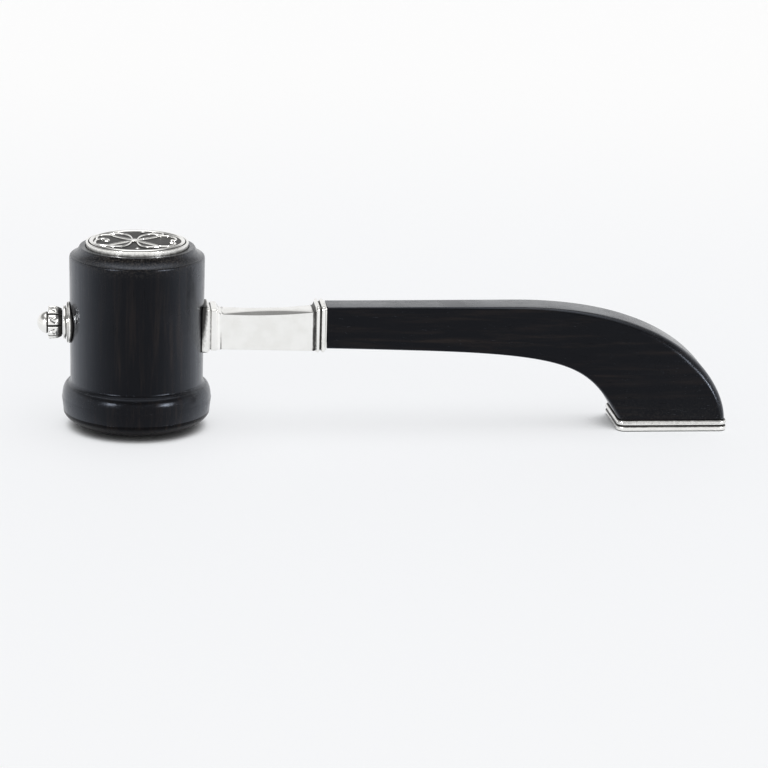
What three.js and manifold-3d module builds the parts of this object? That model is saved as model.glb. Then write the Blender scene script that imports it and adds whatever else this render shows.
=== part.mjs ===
// Ceremonial mallet: a turned ebony head with silver fittings and a curved ebony handle with a shod foot.
// Millimetres, +Z up. The origin is the middle of the flat on the striking face, which stands on Z = 0
// together with the foot. +X runs along the handle from the head to the foot.
import * as THREE from 'three';
import { mergeVertices } from 'three/addons/utils/BufferGeometryUtils.js';
import Module from 'manifold-3d';

// Fit between pieces that touch
const fitClearance = 0.3;
// How far a cutting body runs past what it cuts
const cutOvershoot = 2;

// Head: heights are above the floor, radii are from the axis of turning
const strikingFlatRadius = 11;
const domeHeight = 6.6;
const flangeEdgeRadius = 27.9;
const flangeRadius = 28.45;
const flangeHeight = 13.8;
const flangeTopRadius = 26;
const flangeTopHeight = 17.2;
const coveHeight = 22;
const drumRadius = 25.25;
const drumTopRadius = 25.6;
const arrisHeight = 65.6;
const chamferFootRadius = 24.9;
const chamferFootHeight = 66.9;
const chamferHollow = 0.35;
const lipRadius = 21.75;
const headHeight = 70.2;
const headSides = 48;
const domeSteps = 6;
const ovoloSteps = 4;
const arrisSteps = 3;
const coveShares = [0.35, 0.7, 1];
const chamferShares = [0.33, 0.67];

// Medallion let into the top of the head
const medallionRadius = 19.4;
const medallionSink = 1.8;
const medallionRise = 1.8;
const rimWidth = 1.0;
const rimRounding = 0.3;
const rimBevelShare = 0.3;
const ringOuterRadius = 18.15;
const ringInnerRadius = 16.5;
const ringRise = 0.5;
const ringGroove = 0.4;
const ringShoulderReach = 0.75;
const ringShoulderDrop = 0.35;
const medallionSides = 40;

// Relief on the medallion: heights are above its field, and the whole is turned and set a little off centre
const reliefTurn = -4;
const reliefShiftX = -1;
const reliefShiftY = -0.4;
const reliefRootDepth = 0.3;
const knotRadius = 2.1;
const knotCrown = 0.25;
const knotFlatShare = 0.6;
const knotSides = 12;
const leafSpreadX = 10.2;
const leafSpreadY = 9.9;
const leafWire = 0.6;
const leafRise = 0.45;
const leafFieldRise = 0.15;
const scrollWire = 0.45;
const scrollRise = 0.45;
const budRadius = 0.85;
const budSink = 0.5;

// Control points of one leaf, as shares of its spread in X and Y
const leafSteps = 8;
const leafRootShare = 0.07;
const leafBow = [[0.06, 0.8], [0.36, 1.5]];
const leafStraight = [[0.76, 0.52], [0.46, 0.32]];

// Centre lines of the scrolls and places of the buds, as shares of the ring's inner radius
const scrollLines = [
  { shares: [[-0.57, 0.56], [-0.81, 0.51], [-0.88, 0.3], [-0.86, 0.11]], steps: 6 },
  {
    shares: [
      [-0.57, -0.56], [-0.83, -0.45], [-0.89, -0.22], [-0.86, 0.04],
      [-0.73, 0.15], [-0.61, 0.07], [-0.6, -0.07], [-0.69, -0.1],
    ],
    steps: 16,
  },
  { shares: [[0.57, 0.56], [0.8, 0.51], [0.93, 0.28], [0.92, 0.1], [0.81, 0.07]], steps: 10 },
  { shares: [[0.57, -0.56], [0.8, -0.51], [0.93, -0.29], [0.9, -0.15], [0.8, -0.16]], steps: 10 },
  { shares: [[0.57, 0.54], [0.62, 0.69], [0.58, 0.81]], steps: 4 },
];
const budPlaces = [[0.15, 0.87], [0.1, -0.87]];

// Finial: distances run outwards from the axis of the head
const finialHeight = 40.4;
const rosetteRadius = 7.9;
const rosetteStepRadius = 7.7;
const rosetteBeadLength = 0.35;
const rosetteStepLength = 0.6;
const rosetteGroove = 0.35;
const discRadius = 6.4;
const discGap = 0.25;
const discLength = 0.95;
const discEdge = 0.2;
const waistRadius = 4.7;
const waistLength = 0.25;
const crownRadius = 6.3;
const crownBackRadius = 5.2;
const crownBackLength = 1.9;
const crownLength = 3.3;
const crownFrontRadius = 5.6;
const crownFrontEdge = 0.5;
const crownShoulderShare = 0.99;
const crownLobes = 8;
const lobeGroove = 0.13;
// Share of the way round one lobe, and share of the groove's depth there
const lobeShares = [[0, 1], [0.13, 0.25], [0.5, 0], [0.87, 0.25]];
const tipRadius = 4.3;
const tipShares = [0.45, 0.7, 0.88, 0.97, 0.997];
const tipSink = 0.15;
const tipNeckRadius = 3.95;
const tipNeckLength = 0.35;
const finialSides = 36;

// Ferrule: lengths along the handle, then sections
const shaftHeight = 38.9;
const saddleThickness = 1.75;
const blockLength = 3.2;
const neckLength = 2;
const shankLength = 34.7;
const collarLength = 5;
const saddleHeight = 17.9;
const saddleDepth = 15.4;
const saddleCorner = 1.5;
const saddleEdge = 0.4;
const blockHeight = 16.2;
const blockDepth = 14;
const blockCorner = 0.8;
const blockEdge = 0.3;
const neckCorner = 0.5;
const shankDrop = 0.8;
const shankHeightAtHead = 13.8;
const shankHeightAtCollar = 15.2;
const shankDepth = 12.4;
const shankFacetAcross = 3.6;
const shankFacetDown = 0.7;
const shankCorner = 0.2;
const shankSteps = 8;
const neckShares = [0.25, 0.55];
const collarProud = 1.4;
const collarProudTop = 0.6;
const beadGroove = 0.8;
const beadCorner = 1.6;
// Share of the way along a bead, and share of its groove's depth there
const collarBeadShares = [[0.05, 1], [0.15, 0.3], [0.5, 0], [0.85, 0.3]];

// Handle
const gripHeight = 16.2;
const gripDepth = 12.4;
const gripLift = 0.55;
const tenonLength = 4;
const tenonShoulder = 1.8;
const topRun = 73;
const topRise = 0.25;
const topSweep = 66.8;
const toeReach = 155.2;
const toeSweep = 12.2;
const undersideRun = 37;
const undersideFall = 0.85;
const undersideSweep = 59.5;
const heelReach = 113.5;
const heelSweep = 23.7;
const heelLean = 31;
const footDepth = 26.6;
const flareExponent = 2.1;
const gripCorner = 0.8;
const bendCorner = 4.6;
const bendShare = 0.85;
const footCorner = 2.4;
const undersideCorner = 0.8;
const undersideExponent = 6;
const handleStations = 30;

// Shoe
const shoeHeight = 4.3;
const soleThickness = 1.2;
const shoeBeadProud = 0.85;
const shoeBeadGroove = 0.75;
const lowerBeadShare = 0.54;
// Share of the way up a bead, and share of its groove's depth there
const shoeBeadShares = [[0.14, 0.4], [0.5, 0], [0.86, 0.4]];
const rebateDepth = 0.8;

const ebonyMaterial = new THREE.MeshStandardMaterial({ color: 0x1c1917, roughness: 0.35, metalness: 0 });
const silverMaterial = new THREE.MeshStandardMaterial({ color: 0xd9d9d4, roughness: 0.22, metalness: 1 });

const wasm = await Module();
wasm.setup();

// Joining and cutting closed meshes
function welded(geometry) {
  const plain = geometry.index ? geometry.clone() : geometry;
  plain.deleteAttribute('normal');
  plain.deleteAttribute('uv');
  return mergeVertices(plain, 1e-4);
}

function toSolid(geometry) {
  const mesh = welded(geometry);
  const vertProperties = new Float32Array(mesh.getAttribute('position').array);
  const triVerts = new Uint32Array(mesh.index.array);
  return new wasm.Manifold(new wasm.Mesh({ numProp: 3, vertProperties, triVerts }));
}

function fromSolid(solid) {
  const mesh = solid.getMesh();
  const geometry = new THREE.BufferGeometry();
  geometry.setAttribute('position', new THREE.BufferAttribute(mesh.vertProperties, 3));
  geometry.setIndex(new THREE.BufferAttribute(mesh.triVerts, 1));
  geometry.computeVertexNormals();
  return geometry;
}

// A profile of [radius, height] pairs turned about the Z axis
function turned(profile, sides) {
  const points = profile.map(([radius, height]) => new THREE.Vector2(radius, height));
  return new THREE.LatheGeometry(points, sides).rotateX(Math.PI / 2);
}

// A closed body through rings of equal point count, with flat ends
function lofted(rings) {
  const count = rings[0].length;
  const positions = rings.flat().flatMap((point) => [point.x, point.y, point.z]);
  const index = [];
  for (let ring = 0; ring < rings.length - 1; ring += 1) {
    for (let i = 0; i < count; i += 1) {
      const a = ring * count + i;
      const b = ring * count + (i + 1) % count;
      index.push(a, b, b + count, a, b + count, a + count);
    }
  }
  const last = (rings.length - 1) * count;
  for (let i = 1; i < count - 1; i += 1) {
    index.push(0, i + 1, i);
    index.push(last, last + i, last + i + 1);
  }
  const geometry = new THREE.BufferGeometry();
  geometry.setAttribute('position', new THREE.Float32BufferAttribute(positions, 3));
  geometry.setIndex(index);
  geometry.computeVertexNormals();
  return geometry;
}

// A rectangle centred on the origin with rounded corners, anticlockwise. The first two corner radii are
// those of the upper side, the last two those of the lower side.
function roundedRectangle(width, height, upperRadius, lowerRadius, steps) {
  const corners = [
    [1, 1, upperRadius, 0],
    [-1, 1, upperRadius, 1],
    [-1, -1, lowerRadius, 2],
    [1, -1, lowerRadius, 3],
  ];
  return corners.flatMap(([sideX, sideY, radius, quarter]) => {
    const centreX = sideX * (width / 2 - radius);
    const centreY = sideY * (height / 2 - radius);
    return Array.from({ length: steps + 1 }, (_, step) => {
      const angle = (quarter + step / steps) * Math.PI / 2;
      return new THREE.Vector2(centreX + radius * Math.cos(angle), centreY + radius * Math.sin(angle));
    });
  });
}

// Points on an elliptical quarter from one angle to another, in degrees
function arcPoints(centreX, centreY, radiusX, radiusY, from, to, steps) {
  return Array.from({ length: steps + 1 }, (_, step) => {
    const angle = THREE.MathUtils.degToRad(from + (to - from) * step / steps);
    return [centreX + radiusX * Math.cos(angle), centreY + radiusY * Math.sin(angle)];
  });
}

// Radius of the drum at a height between the cove and the arris
function drumRadiusAt(height) {
  const share = (height - coveHeight) / (arrisHeight - coveHeight);
  return THREE.MathUtils.lerp(drumRadius, drumTopRadius, share);
}

// The drum with the fitting gap added, for hollowing what sits against it
function drumCutter(fromHeight, toHeight) {
  const profile = [
    [0, fromHeight],
    [drumRadiusAt(fromHeight) + fitClearance, fromHeight],
    [drumRadiusAt(toHeight) + fitClearance, toHeight],
    [0, toHeight],
  ];
  return toSolid(turned(profile, headSides));
}

const medallionSeatHeight = headHeight - medallionSink;

function headProfile() {
  const domeSpan = flangeEdgeRadius - strikingFlatRadius;
  const dome = arcPoints(strikingFlatRadius, domeHeight, domeSpan, domeHeight, -90, 0, domeSteps);
  const ovoloWidth = flangeRadius - flangeTopRadius;
  const ovoloRise = flangeTopHeight - flangeHeight;
  const ovolo = arcPoints(flangeTopRadius, flangeHeight, ovoloWidth, ovoloRise, 0, 90, ovoloSteps);
  const coveSpan = flangeTopRadius - drumRadius;
  const coveRise = coveHeight - flangeTopHeight;
  const cove = coveShares.map((share) => [
    drumRadius + coveSpan * (1 - share) ** 2,
    flangeTopHeight + coveRise * share,
  ]);
  const arrisWidth = drumTopRadius - chamferFootRadius;
  const arrisRise = chamferFootHeight - arrisHeight;
  const arris = arcPoints(chamferFootRadius, arrisHeight, arrisWidth, arrisRise, 0, 90, arrisSteps);
  const chamfer = chamferShares.map((share) => {
    const hollow = chamferHollow * 4 * share * (1 - share);
    return [
      THREE.MathUtils.lerp(chamferFootRadius, lipRadius, share) - hollow,
      THREE.MathUtils.lerp(chamferFootHeight, headHeight, share) - hollow,
    ];
  });
  const seatRadius = medallionRadius + fitClearance;
  const seatFloor = medallionSeatHeight - fitClearance;
  return [
    [0, 0],
    ...dome,
    ...ovolo,
    ...cove,
    ...arris,
    ...chamfer,
    [lipRadius, headHeight],
    [seatRadius, headHeight],
    [seatRadius, seatFloor],
    [0, seatFloor],
  ];
}

function makeHead() {
  return turned(headProfile(), headSides);
}

// Medallion
const fieldHeight = headHeight + medallionRise;

function medallionProfile() {
  const ringMiddle = (ringOuterRadius + ringInnerRadius) / 2;
  const ringHalf = (ringOuterRadius - ringInnerRadius) / 2;
  const ringTop = fieldHeight + ringRise;
  const shoulderReach = ringHalf * ringShoulderReach;
  const shoulderHeight = ringTop - ringHalf * ringShoulderDrop;
  const bevel = rimRounding * rimBevelShare;
  return [
    [0, medallionSeatHeight],
    [medallionRadius, medallionSeatHeight],
    [medallionRadius, fieldHeight - rimRounding],
    [medallionRadius - bevel, fieldHeight - bevel],
    [medallionRadius - rimRounding, fieldHeight],
    [medallionRadius - rimWidth, fieldHeight - bevel],
    [ringOuterRadius, fieldHeight - ringGroove],
    [ringMiddle + shoulderReach, shoulderHeight],
    [ringMiddle, ringTop],
    [ringMiddle - shoulderReach, shoulderHeight],
    [ringInnerRadius, fieldHeight],
    [0, fieldHeight],
  ];
}

// Half of a leaf lies above the line from the knot to its tip and bows out; the other half is straighter
function leafOutline(steps) {
  const at = ([shareX, shareY]) => new THREE.Vector2(leafSpreadX * shareX, leafSpreadY * shareY);
  const root = at([leafRootShare, leafRootShare]);
  const tip = at([1, 1]);
  const bow = new THREE.CubicBezierCurve(root, at(leafBow[0]), at(leafBow[1]), tip);
  const straight = new THREE.CubicBezierCurve(tip, at(leafStraight[0]), at(leafStraight[1]), root);
  return [...bow.getPoints(steps).slice(0, -1), ...straight.getPoints(steps - 2).slice(0, -1)];
}

// The outline moved inwards by an equal distance at each point
function inset(outline, distance) {
  const clockwise = THREE.ShapeUtils.isClockWise(outline) ? 1 : -1;
  return outline.map((point, i) => {
    const before = outline[(i + outline.length - 1) % outline.length];
    const after = outline[(i + 1) % outline.length];
    const normalIn = point.clone().sub(before).normalize();
    const normalOut = after.clone().sub(point).normalize();
    const middle = new THREE.Vector2(
      (normalIn.y + normalOut.y) * clockwise,
      -(normalIn.x + normalOut.x) * clockwise,
    ).normalize();
    return point.clone().addScaledVector(middle, distance);
  });
}

function slab(outline, bottom, top) {
  const shape = new THREE.Shape(outline);
  const geometry = new THREE.ExtrudeGeometry(shape, { depth: top - bottom, bevelEnabled: false });
  return geometry.translate(0, 0, bottom);
}

const reliefRoot = fieldHeight - reliefRootDepth;

function makeLeaf(signX, signY) {
  const place = (points) => {
    const turnedPoints = points.map(({ x, y }) => new THREE.Vector2(signX * x, signY * y));
    return THREE.ShapeUtils.isClockWise(turnedPoints) ? turnedPoints.reverse() : turnedPoints;
  };
  const outline = leafOutline(leafSteps);
  const wireTop = fieldHeight + leafRise;
  const body = toSolid(slab(place(outline), reliefRoot, wireTop));
  const inner = place(inset(outline, leafWire));
  const hollow = toSolid(slab(inner, fieldHeight + leafFieldRise, wireTop + cutOvershoot));
  return body.subtract(hollow);
}

// A wire of five sides along a smooth path in plan
function makeScroll(shares, steps) {
  const height = fieldHeight + scrollRise - scrollWire;
  const points = shares.map(([x, y]) => new THREE.Vector3(x * ringInnerRadius, y * ringInnerRadius, height));
  const path = new THREE.CatmullRomCurve3(points);
  const sides = 5;
  const section = Array.from({ length: sides }, (_, side) => {
    const angle = side * Math.PI * 2 / sides;
    return new THREE.Vector2(scrollWire * Math.cos(angle), scrollWire * Math.sin(angle));
  });
  const shape = new THREE.Shape(section);
  return toSolid(new THREE.ExtrudeGeometry(shape, { steps, extrudePath: path, bevelEnabled: false }));
}

function makeBud([shareX, shareY]) {
  const bud = new THREE.SphereGeometry(budRadius, 8, 6);
  const height = fieldHeight + scrollRise - budSink;
  return toSolid(bud.translate(shareX * ringInnerRadius, shareY * ringInnerRadius, height));
}

function makeKnot() {
  const top = fieldHeight + leafRise;
  const profile = [
    [0, reliefRoot],
    [knotRadius, reliefRoot],
    [knotRadius, top],
    [knotRadius * knotFlatShare, top + knotCrown],
    [0, top + knotCrown],
  ];
  return toSolid(turned(profile, knotSides));
}

function makeMedallion() {
  let relief = makeKnot();
  for (const signX of [-1, 1]) {
    for (const signY of [-1, 1]) {
      relief = relief.add(makeLeaf(signX, signY));
    }
  }
  for (const { shares, steps } of scrollLines) {
    relief = relief.add(makeScroll(shares, steps));
  }
  for (const place of budPlaces) {
    relief = relief.add(makeBud(place));
  }
  const placed = relief.rotate([0, 0, reliefTurn]).translate([reliefShiftX, reliefShiftY, 0]);
  return fromSolid(toSolid(turned(medallionProfile(), medallionSides)).add(placed));
}

// Finial: turned about its own axis, then laid along -X at its height
function laidOutwards(geometry) {
  return geometry.rotateY(-Math.PI / 2).translate(0, 0, finialHeight);
}

const rosetteRoot = drumRadiusAt(finialHeight) + fitClearance;
const rosetteStepStart = rosetteRoot + rosetteBeadLength;
const rosetteStepEnd = rosetteStepStart + rosetteStepLength;
const discStart = rosetteStepEnd + discGap;
const discEnd = discStart + discLength;
const knobStart = discEnd + fitClearance;

function makeRosette() {
  const stepMiddle = (rosetteStepStart + rosetteStepEnd) / 2;
  const stepCore = rosetteStepRadius - rosetteGroove;
  const stepBead = arcPoints(stepCore, stepMiddle, rosetteGroove, rosetteStepLength / 2, -90, 90, 4);
  const discCore = discRadius - rosetteGroove;
  const profile = [
    [0, drumRadius / 2],
    [rosetteRadius, drumRadius / 2],
    [rosetteRadius, rosetteStepStart - rosetteGroove],
    [rosetteRadius - rosetteGroove, rosetteStepStart],
    ...stepBead,
    [discCore, rosetteStepEnd],
    [discCore, discStart],
    [discRadius, discStart + discEdge],
    [discRadius, discEnd - discEdge],
    [discRadius - discEdge, discEnd],
    [0, discEnd],
  ];
  const body = toSolid(laidOutwards(turned(profile, finialSides)));
  const reach = rosetteRadius + cutOvershoot;
  return fromSolid(body.subtract(drumCutter(finialHeight - reach, finialHeight + reach)));
}

function makeKnob() {
  const crownBack = knobStart + waistLength;
  const crownShoulder = crownBack + crownBackLength;
  const crownFront = crownShoulder + crownLength;
  const tipCentre = crownFront - tipSink;
  const neckEnd = crownFront + tipNeckLength;
  const tipStart = (neckEnd - tipCentre) / tipRadius;
  const tipStations = [tipStart, ...tipShares].map((share) => (
    [tipCentre + tipRadius * share, tipRadius * Math.sqrt(1 - share ** 2), 0]
  ));
  // Distance outwards, radius, and share of the lobes' grooves
  const stations = [
    [knobStart, waistRadius, 0],
    [crownBack, waistRadius, 0],
    [crownBack, crownBackRadius, 0.5],
    [crownShoulder, crownRadius * crownShoulderShare, 1],
    [crownShoulder + crownLength / 2, crownRadius, 1],
    [crownFront - crownFrontEdge, crownRadius * crownShoulderShare, 1],
    [crownFront, crownFrontRadius, 1],
    [crownFront, tipNeckRadius, 0],
    [neckEnd, tipNeckRadius, 0],
    ...tipStations,
  ];
  const rings = stations.map(([reach, radius, grooving]) => {
    const ring = [];
    for (let lobe = 0; lobe < crownLobes; lobe += 1) {
      for (const [share, depth] of lobeShares) {
        const angle = (lobe + share) * Math.PI * 2 / crownLobes;
        const here = radius * (1 - lobeGroove * depth * grooving);
        ring.push(new THREE.Vector3(here * Math.cos(angle), here * Math.sin(angle), reach));
      }
    }
    return ring;
  });
  return laidOutwards(lofted(rings));
}

// Ferrule: stations along X, each with its section
const saddleFace = drumRadius + saddleThickness;
const blockEnd = saddleFace + blockLength;
const shankStart = blockEnd + neckLength;
const collarStart = shankStart + shankLength;
const collarEnd = collarStart + collarLength;
const handleStart = collarEnd + fitClearance;
const gripTop = shaftHeight + gripLift + gripHeight / 2;
const gripBottom = gripTop - gripHeight;
const collarTop = gripTop + collarProudTop;
const collarBottom = gripBottom - collarProud;
const collarDepth = gripDepth + 2 * collarProud;

function section(x, bottom, top, depth, corner) {
  const middle = (bottom + top) / 2;
  return roundedRectangle(depth, top - bottom, corner, corner, 2)
    .map((point) => new THREE.Vector3(x, point.x, middle + point.y));
}

// The upper edges of the shank are planed off in long facets that run out at both ends. The lower edges
// are only broken.
function shankSection(share, x) {
  const halfDepth = shankDepth / 2;
  const halfHeight = THREE.MathUtils.lerp(shankHeightAtHead, shankHeightAtCollar, share) / 2;
  const across = shankCorner + shankFacetAcross * Math.sin(Math.PI * share);
  const down = shankCorner + shankFacetDown * Math.sin(Math.PI * share);
  const cuts = [
    [[halfDepth, halfHeight - down], [halfDepth - across, halfHeight]],
    [[across - halfDepth, halfHeight], [-halfDepth, halfHeight - down]],
    [[-halfDepth, shankCorner - halfHeight], [shankCorner - halfDepth, -halfHeight]],
    [[halfDepth - shankCorner, -halfHeight], [halfDepth, shankCorner - halfHeight]],
  ];
  const middle = shaftHeight - shankDrop;
  return cuts.flatMap(([from, to]) => {
    const start = new THREE.Vector3(x, from[0], middle + from[1]);
    const end = new THREE.Vector3(x, to[0], middle + to[1]);
    return [start, start.clone().lerp(end, 0.5), end];
  });
}

function collarSection(x, shrink) {
  const corner = beadCorner - shrink / 2;
  return section(x, collarBottom + shrink, collarTop - shrink, collarDepth - 2 * shrink, corner);
}

function ferruleStations() {
  const centred = (x, height, depth, corner) => (
    section(x, shaftHeight - height / 2, shaftHeight + height / 2, depth, corner)
  );
  const saddleFaceHeight = saddleHeight - 2 * saddleEdge;
  const saddleFaceDepth = saddleDepth - 2 * saddleEdge;
  const neckHeight = blockHeight - 2 * blockEdge;
  const neckDepth = blockDepth - 2 * blockEdge;
  const stations = [
    centred(drumRadius / 2, saddleHeight, saddleDepth, saddleCorner),
    centred(saddleFace - saddleEdge, saddleHeight, saddleDepth, saddleCorner),
    centred(saddleFace, saddleFaceHeight, saddleFaceDepth, saddleCorner - saddleEdge),
    centred(saddleFace, blockHeight, blockDepth, blockCorner),
    centred(blockEnd - 2 * blockEdge, blockHeight, blockDepth, blockCorner),
    centred(blockEnd, neckHeight, neckDepth, blockCorner - blockEdge / 2),
  ];
  const shankMiddle = shaftHeight - shankDrop;
  for (const share of neckShares) {
    const swept = (1 - share) ** 2;
    const height = THREE.MathUtils.lerp(shankHeightAtHead, neckHeight, swept);
    const depth = THREE.MathUtils.lerp(shankDepth, neckDepth, swept);
    const middle = THREE.MathUtils.lerp(shankMiddle, shaftHeight, swept);
    const x = blockEnd + neckLength * share;
    stations.push(section(x, middle - height / 2, middle + height / 2, depth, neckCorner));
  }
  for (let step = 0; step <= shankSteps; step += 1) {
    stations.push(shankSection(step / shankSteps, shankStart + shankLength * step / shankSteps));
  }
  const beadLength = collarLength / 2;
  for (const bead of [0, 1]) {
    for (const [share, depth] of collarBeadShares) {
      stations.push(collarSection(collarStart + beadLength * (bead + share), beadGroove * depth));
    }
  }
  stations.push(collarSection(collarEnd, beadGroove / 2));
  return stations;
}

function tenonRing(x, allowance) {
  const shrink = 2 * (tenonShoulder - allowance);
  const middle = (gripTop + gripBottom) / 2;
  return roundedRectangle(gripDepth - shrink, gripHeight - shrink, gripCorner, gripCorner, 3)
    .map((point) => new THREE.Vector3(x, point.x, middle + point.y));
}

function makeFerrule() {
  const body = toSolid(lofted(ferruleStations()));
  const pocketFloor = handleStart - tenonLength - fitClearance;
  const pocket = toSolid(lofted([
    tenonRing(pocketFloor, fitClearance),
    tenonRing(collarEnd + cutOvershoot, fitClearance),
  ]));
  const reach = saddleHeight / 2 + cutOvershoot;
  return fromSolid(body.subtract(drumCutter(shaftHeight - reach, shaftHeight + reach)).subtract(pocket));
}

// Handle: the top line and the underside are each a straight run and then one curve down to the shoe
const shoulderHeight = shoeHeight + fitClearance;
const toeX = handleStart + toeReach;
const heelX = handleStart + heelReach;

// A straight run from a start to a bend, then a curve that leaves the run smoothly and meets its end
function runThenSweep(start, bend, sweep, end, endSweep, endLean) {
  const along = bend.clone().sub(start).normalize();
  const lean = THREE.MathUtils.degToRad(endLean);
  const arrival = new THREE.Vector2(-Math.sin(lean), Math.cos(lean));
  const path = new THREE.CurvePath();
  path.add(new THREE.LineCurve(start, bend));
  path.add(new THREE.CubicBezierCurve(
    bend,
    bend.clone().addScaledVector(along, sweep),
    end.clone().addScaledVector(arrival, endSweep),
    end,
  ));
  return path;
}

const topLine = runThenSweep(
  new THREE.Vector2(handleStart, gripTop),
  new THREE.Vector2(handleStart + topRun, gripTop + topRise),
  topSweep,
  new THREE.Vector2(toeX, shoulderHeight),
  toeSweep,
  0,
);
const underside = runThenSweep(
  new THREE.Vector2(handleStart, gripBottom),
  new THREE.Vector2(handleStart + undersideRun, gripBottom - undersideFall),
  undersideSweep,
  new THREE.Vector2(heelX, shoulderHeight),
  heelSweep,
  heelLean,
);

// Corner radius of the upper edge: crisp on the grip, softest on the bend, tighter again at the foot
function upperCornerAt(share) {
  if (share < bendShare) {
    return THREE.MathUtils.lerp(gripCorner, bendCorner, (share / bendShare) ** 2);
  }
  return THREE.MathUtils.lerp(bendCorner, footCorner, (share - bendShare) / (1 - bendShare));
}

function lowerCornerAt(share) {
  return THREE.MathUtils.lerp(undersideCorner, footCorner, share ** undersideExponent);
}

// A section across the handle, in the plane through a point of the top line and one of the underside
function handleSection(share, shrink) {
  const top = topLine.getPointAt(share);
  const bottom = underside.getPointAt(share);
  const middle = top.clone().add(bottom).multiplyScalar(0.5);
  const upward = top.clone().sub(bottom).normalize();
  const height = top.distanceTo(bottom) - 2 * shrink;
  const depth = THREE.MathUtils.lerp(gripDepth, footDepth, share ** flareExponent) - 2 * shrink;
  return roundedRectangle(depth, height, upperCornerAt(share), lowerCornerAt(share), 3).map((point) => {
    const place = middle.clone().addScaledVector(upward, point.y);
    return new THREE.Vector3(place.x, point.x, place.y);
  });
}

function makeHandle() {
  const rings = [
    tenonRing(handleStart - tenonLength, 0),
    tenonRing(handleStart, 0),
  ];
  for (let station = 0; station <= handleStations; station += 1) {
    rings.push(handleSection(station / handleStations, 0));
  }
  const rebated = handleSection(1, rebateDepth);
  rings.push(rebated);
  rings.push(rebated.map((point) => new THREE.Vector3(point.x, point.y, soleThickness + fitClearance)));
  return lofted(rings);
}

// Shoe: the foot's own outline, grown by each bead
function shoeRing(height, growth) {
  const middleX = (toeX + heelX) / 2;
  const length = toeX - heelX + 2 * growth;
  return roundedRectangle(length, footDepth + 2 * growth, footCorner + growth, footCorner + growth, 4)
    .map((point) => new THREE.Vector3(middleX + point.x, point.y, height));
}

function makeShoe() {
  const split = shoeHeight * lowerBeadShare;
  const beads = [
    [0, split],
    [split, shoeHeight],
  ];
  const rings = [shoeRing(0, shoeBeadProud - shoeBeadGroove)];
  for (const [bottom, top] of beads) {
    for (const [share, drop] of shoeBeadShares) {
      const height = THREE.MathUtils.lerp(bottom, top, share);
      rings.push(shoeRing(height, shoeBeadProud - shoeBeadGroove * drop));
    }
    rings.push(shoeRing(top, shoeBeadProud - shoeBeadGroove));
  }
  const tray = lofted([
    shoeRing(soleThickness, fitClearance - rebateDepth),
    shoeRing(shoeHeight + cutOvershoot, fitClearance - rebateDepth),
  ]);
  return fromSolid(toSolid(lofted(rings)).subtract(toSolid(tray)));
}

// Assembly
const mallet = new THREE.Group();
const pieces = [
  ['head', makeHead(), ebonyMaterial],
  ['medallion', makeMedallion(), silverMaterial],
  ['finial_rosette', makeRosette(), silverMaterial],
  ['finial_knob', makeKnob(), silverMaterial],
  ['ferrule', makeFerrule(), silverMaterial],
  ['handle', makeHandle(), ebonyMaterial],
  ['foot_shoe', makeShoe(), silverMaterial],
];
for (const [name, geometry, material] of pieces) {
  const mesh = new THREE.Mesh(geometry, material);
  mesh.name = name;
  mallet.add(mesh);
}

export default mallet;
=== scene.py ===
"""Ceremonial mallet: a turned ebony head with silver fittings and a curved ebony handle with a shod foot.

Metres, +Z up. The head stands on its striking face at the origin, and +X runs along the handle to the foot.
"""
import math

import bmesh
import bpy
import numpy as np
from mathutils import Matrix, Vector
from mathutils.bvhtree import BVHTree


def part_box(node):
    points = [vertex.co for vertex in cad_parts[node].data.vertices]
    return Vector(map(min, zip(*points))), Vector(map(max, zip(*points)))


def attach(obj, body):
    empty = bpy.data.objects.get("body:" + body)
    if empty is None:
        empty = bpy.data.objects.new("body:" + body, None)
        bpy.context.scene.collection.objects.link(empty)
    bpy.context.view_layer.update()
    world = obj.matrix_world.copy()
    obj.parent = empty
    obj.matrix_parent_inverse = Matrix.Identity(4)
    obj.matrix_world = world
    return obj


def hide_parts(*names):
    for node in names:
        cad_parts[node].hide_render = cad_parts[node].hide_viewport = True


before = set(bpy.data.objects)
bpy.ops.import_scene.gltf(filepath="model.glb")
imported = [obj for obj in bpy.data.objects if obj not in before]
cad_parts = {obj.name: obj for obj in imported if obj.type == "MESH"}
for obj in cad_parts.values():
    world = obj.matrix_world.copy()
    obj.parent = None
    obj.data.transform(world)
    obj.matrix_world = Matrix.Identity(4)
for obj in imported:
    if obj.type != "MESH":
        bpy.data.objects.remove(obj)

bl_info = {
    "name": "Ceremonial mallet",
    "version": (1, 0, 0),
    "blender": (4, 5, 0),
    "location": "View3D > Sidebar > Mallet",
    "description": "Builds the finished look of a ceremonial mallet over its solid parts",
    "category": "Object",
}

MM = 0.001


# Properties


def length(label, about, millimetres):
    """A length, given in millimetres and held in metres."""
    return bpy.props.FloatProperty(
        name=label, description=about, default=millimetres * MM, unit="LENGTH", precision=5
    )


def share(label, about, default):
    """A share from 0 to 1."""
    return bpy.props.FloatProperty(
        name=label, description=about, default=default, min=0, max=1, subtype="FACTOR"
    )


def count(label, about, default):
    """A whole number of three or more."""
    return bpy.props.IntProperty(name=label, description=about, default=default, min=3)


def angle(label, about, degrees):
    """An angle, given in degrees."""
    return bpy.props.FloatProperty(
        name=label, description=about, default=math.radians(degrees), subtype="ANGLE"
    )


def colour(label, about, default):
    """A linear colour."""
    return bpy.props.FloatVectorProperty(
        name=label, description=about, default=default, size=3, min=0, max=1, subtype="COLOR"
    )


def strength(label, about, default):
    """A strength of light."""
    return bpy.props.FloatProperty(name=label, description=about, default=default, min=0)


def direction(label, about, default):
    """A direction from the mallet."""
    return bpy.props.FloatVectorProperty(
        name=label, description=about, default=default, size=3, subtype="DIRECTION"
    )


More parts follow.
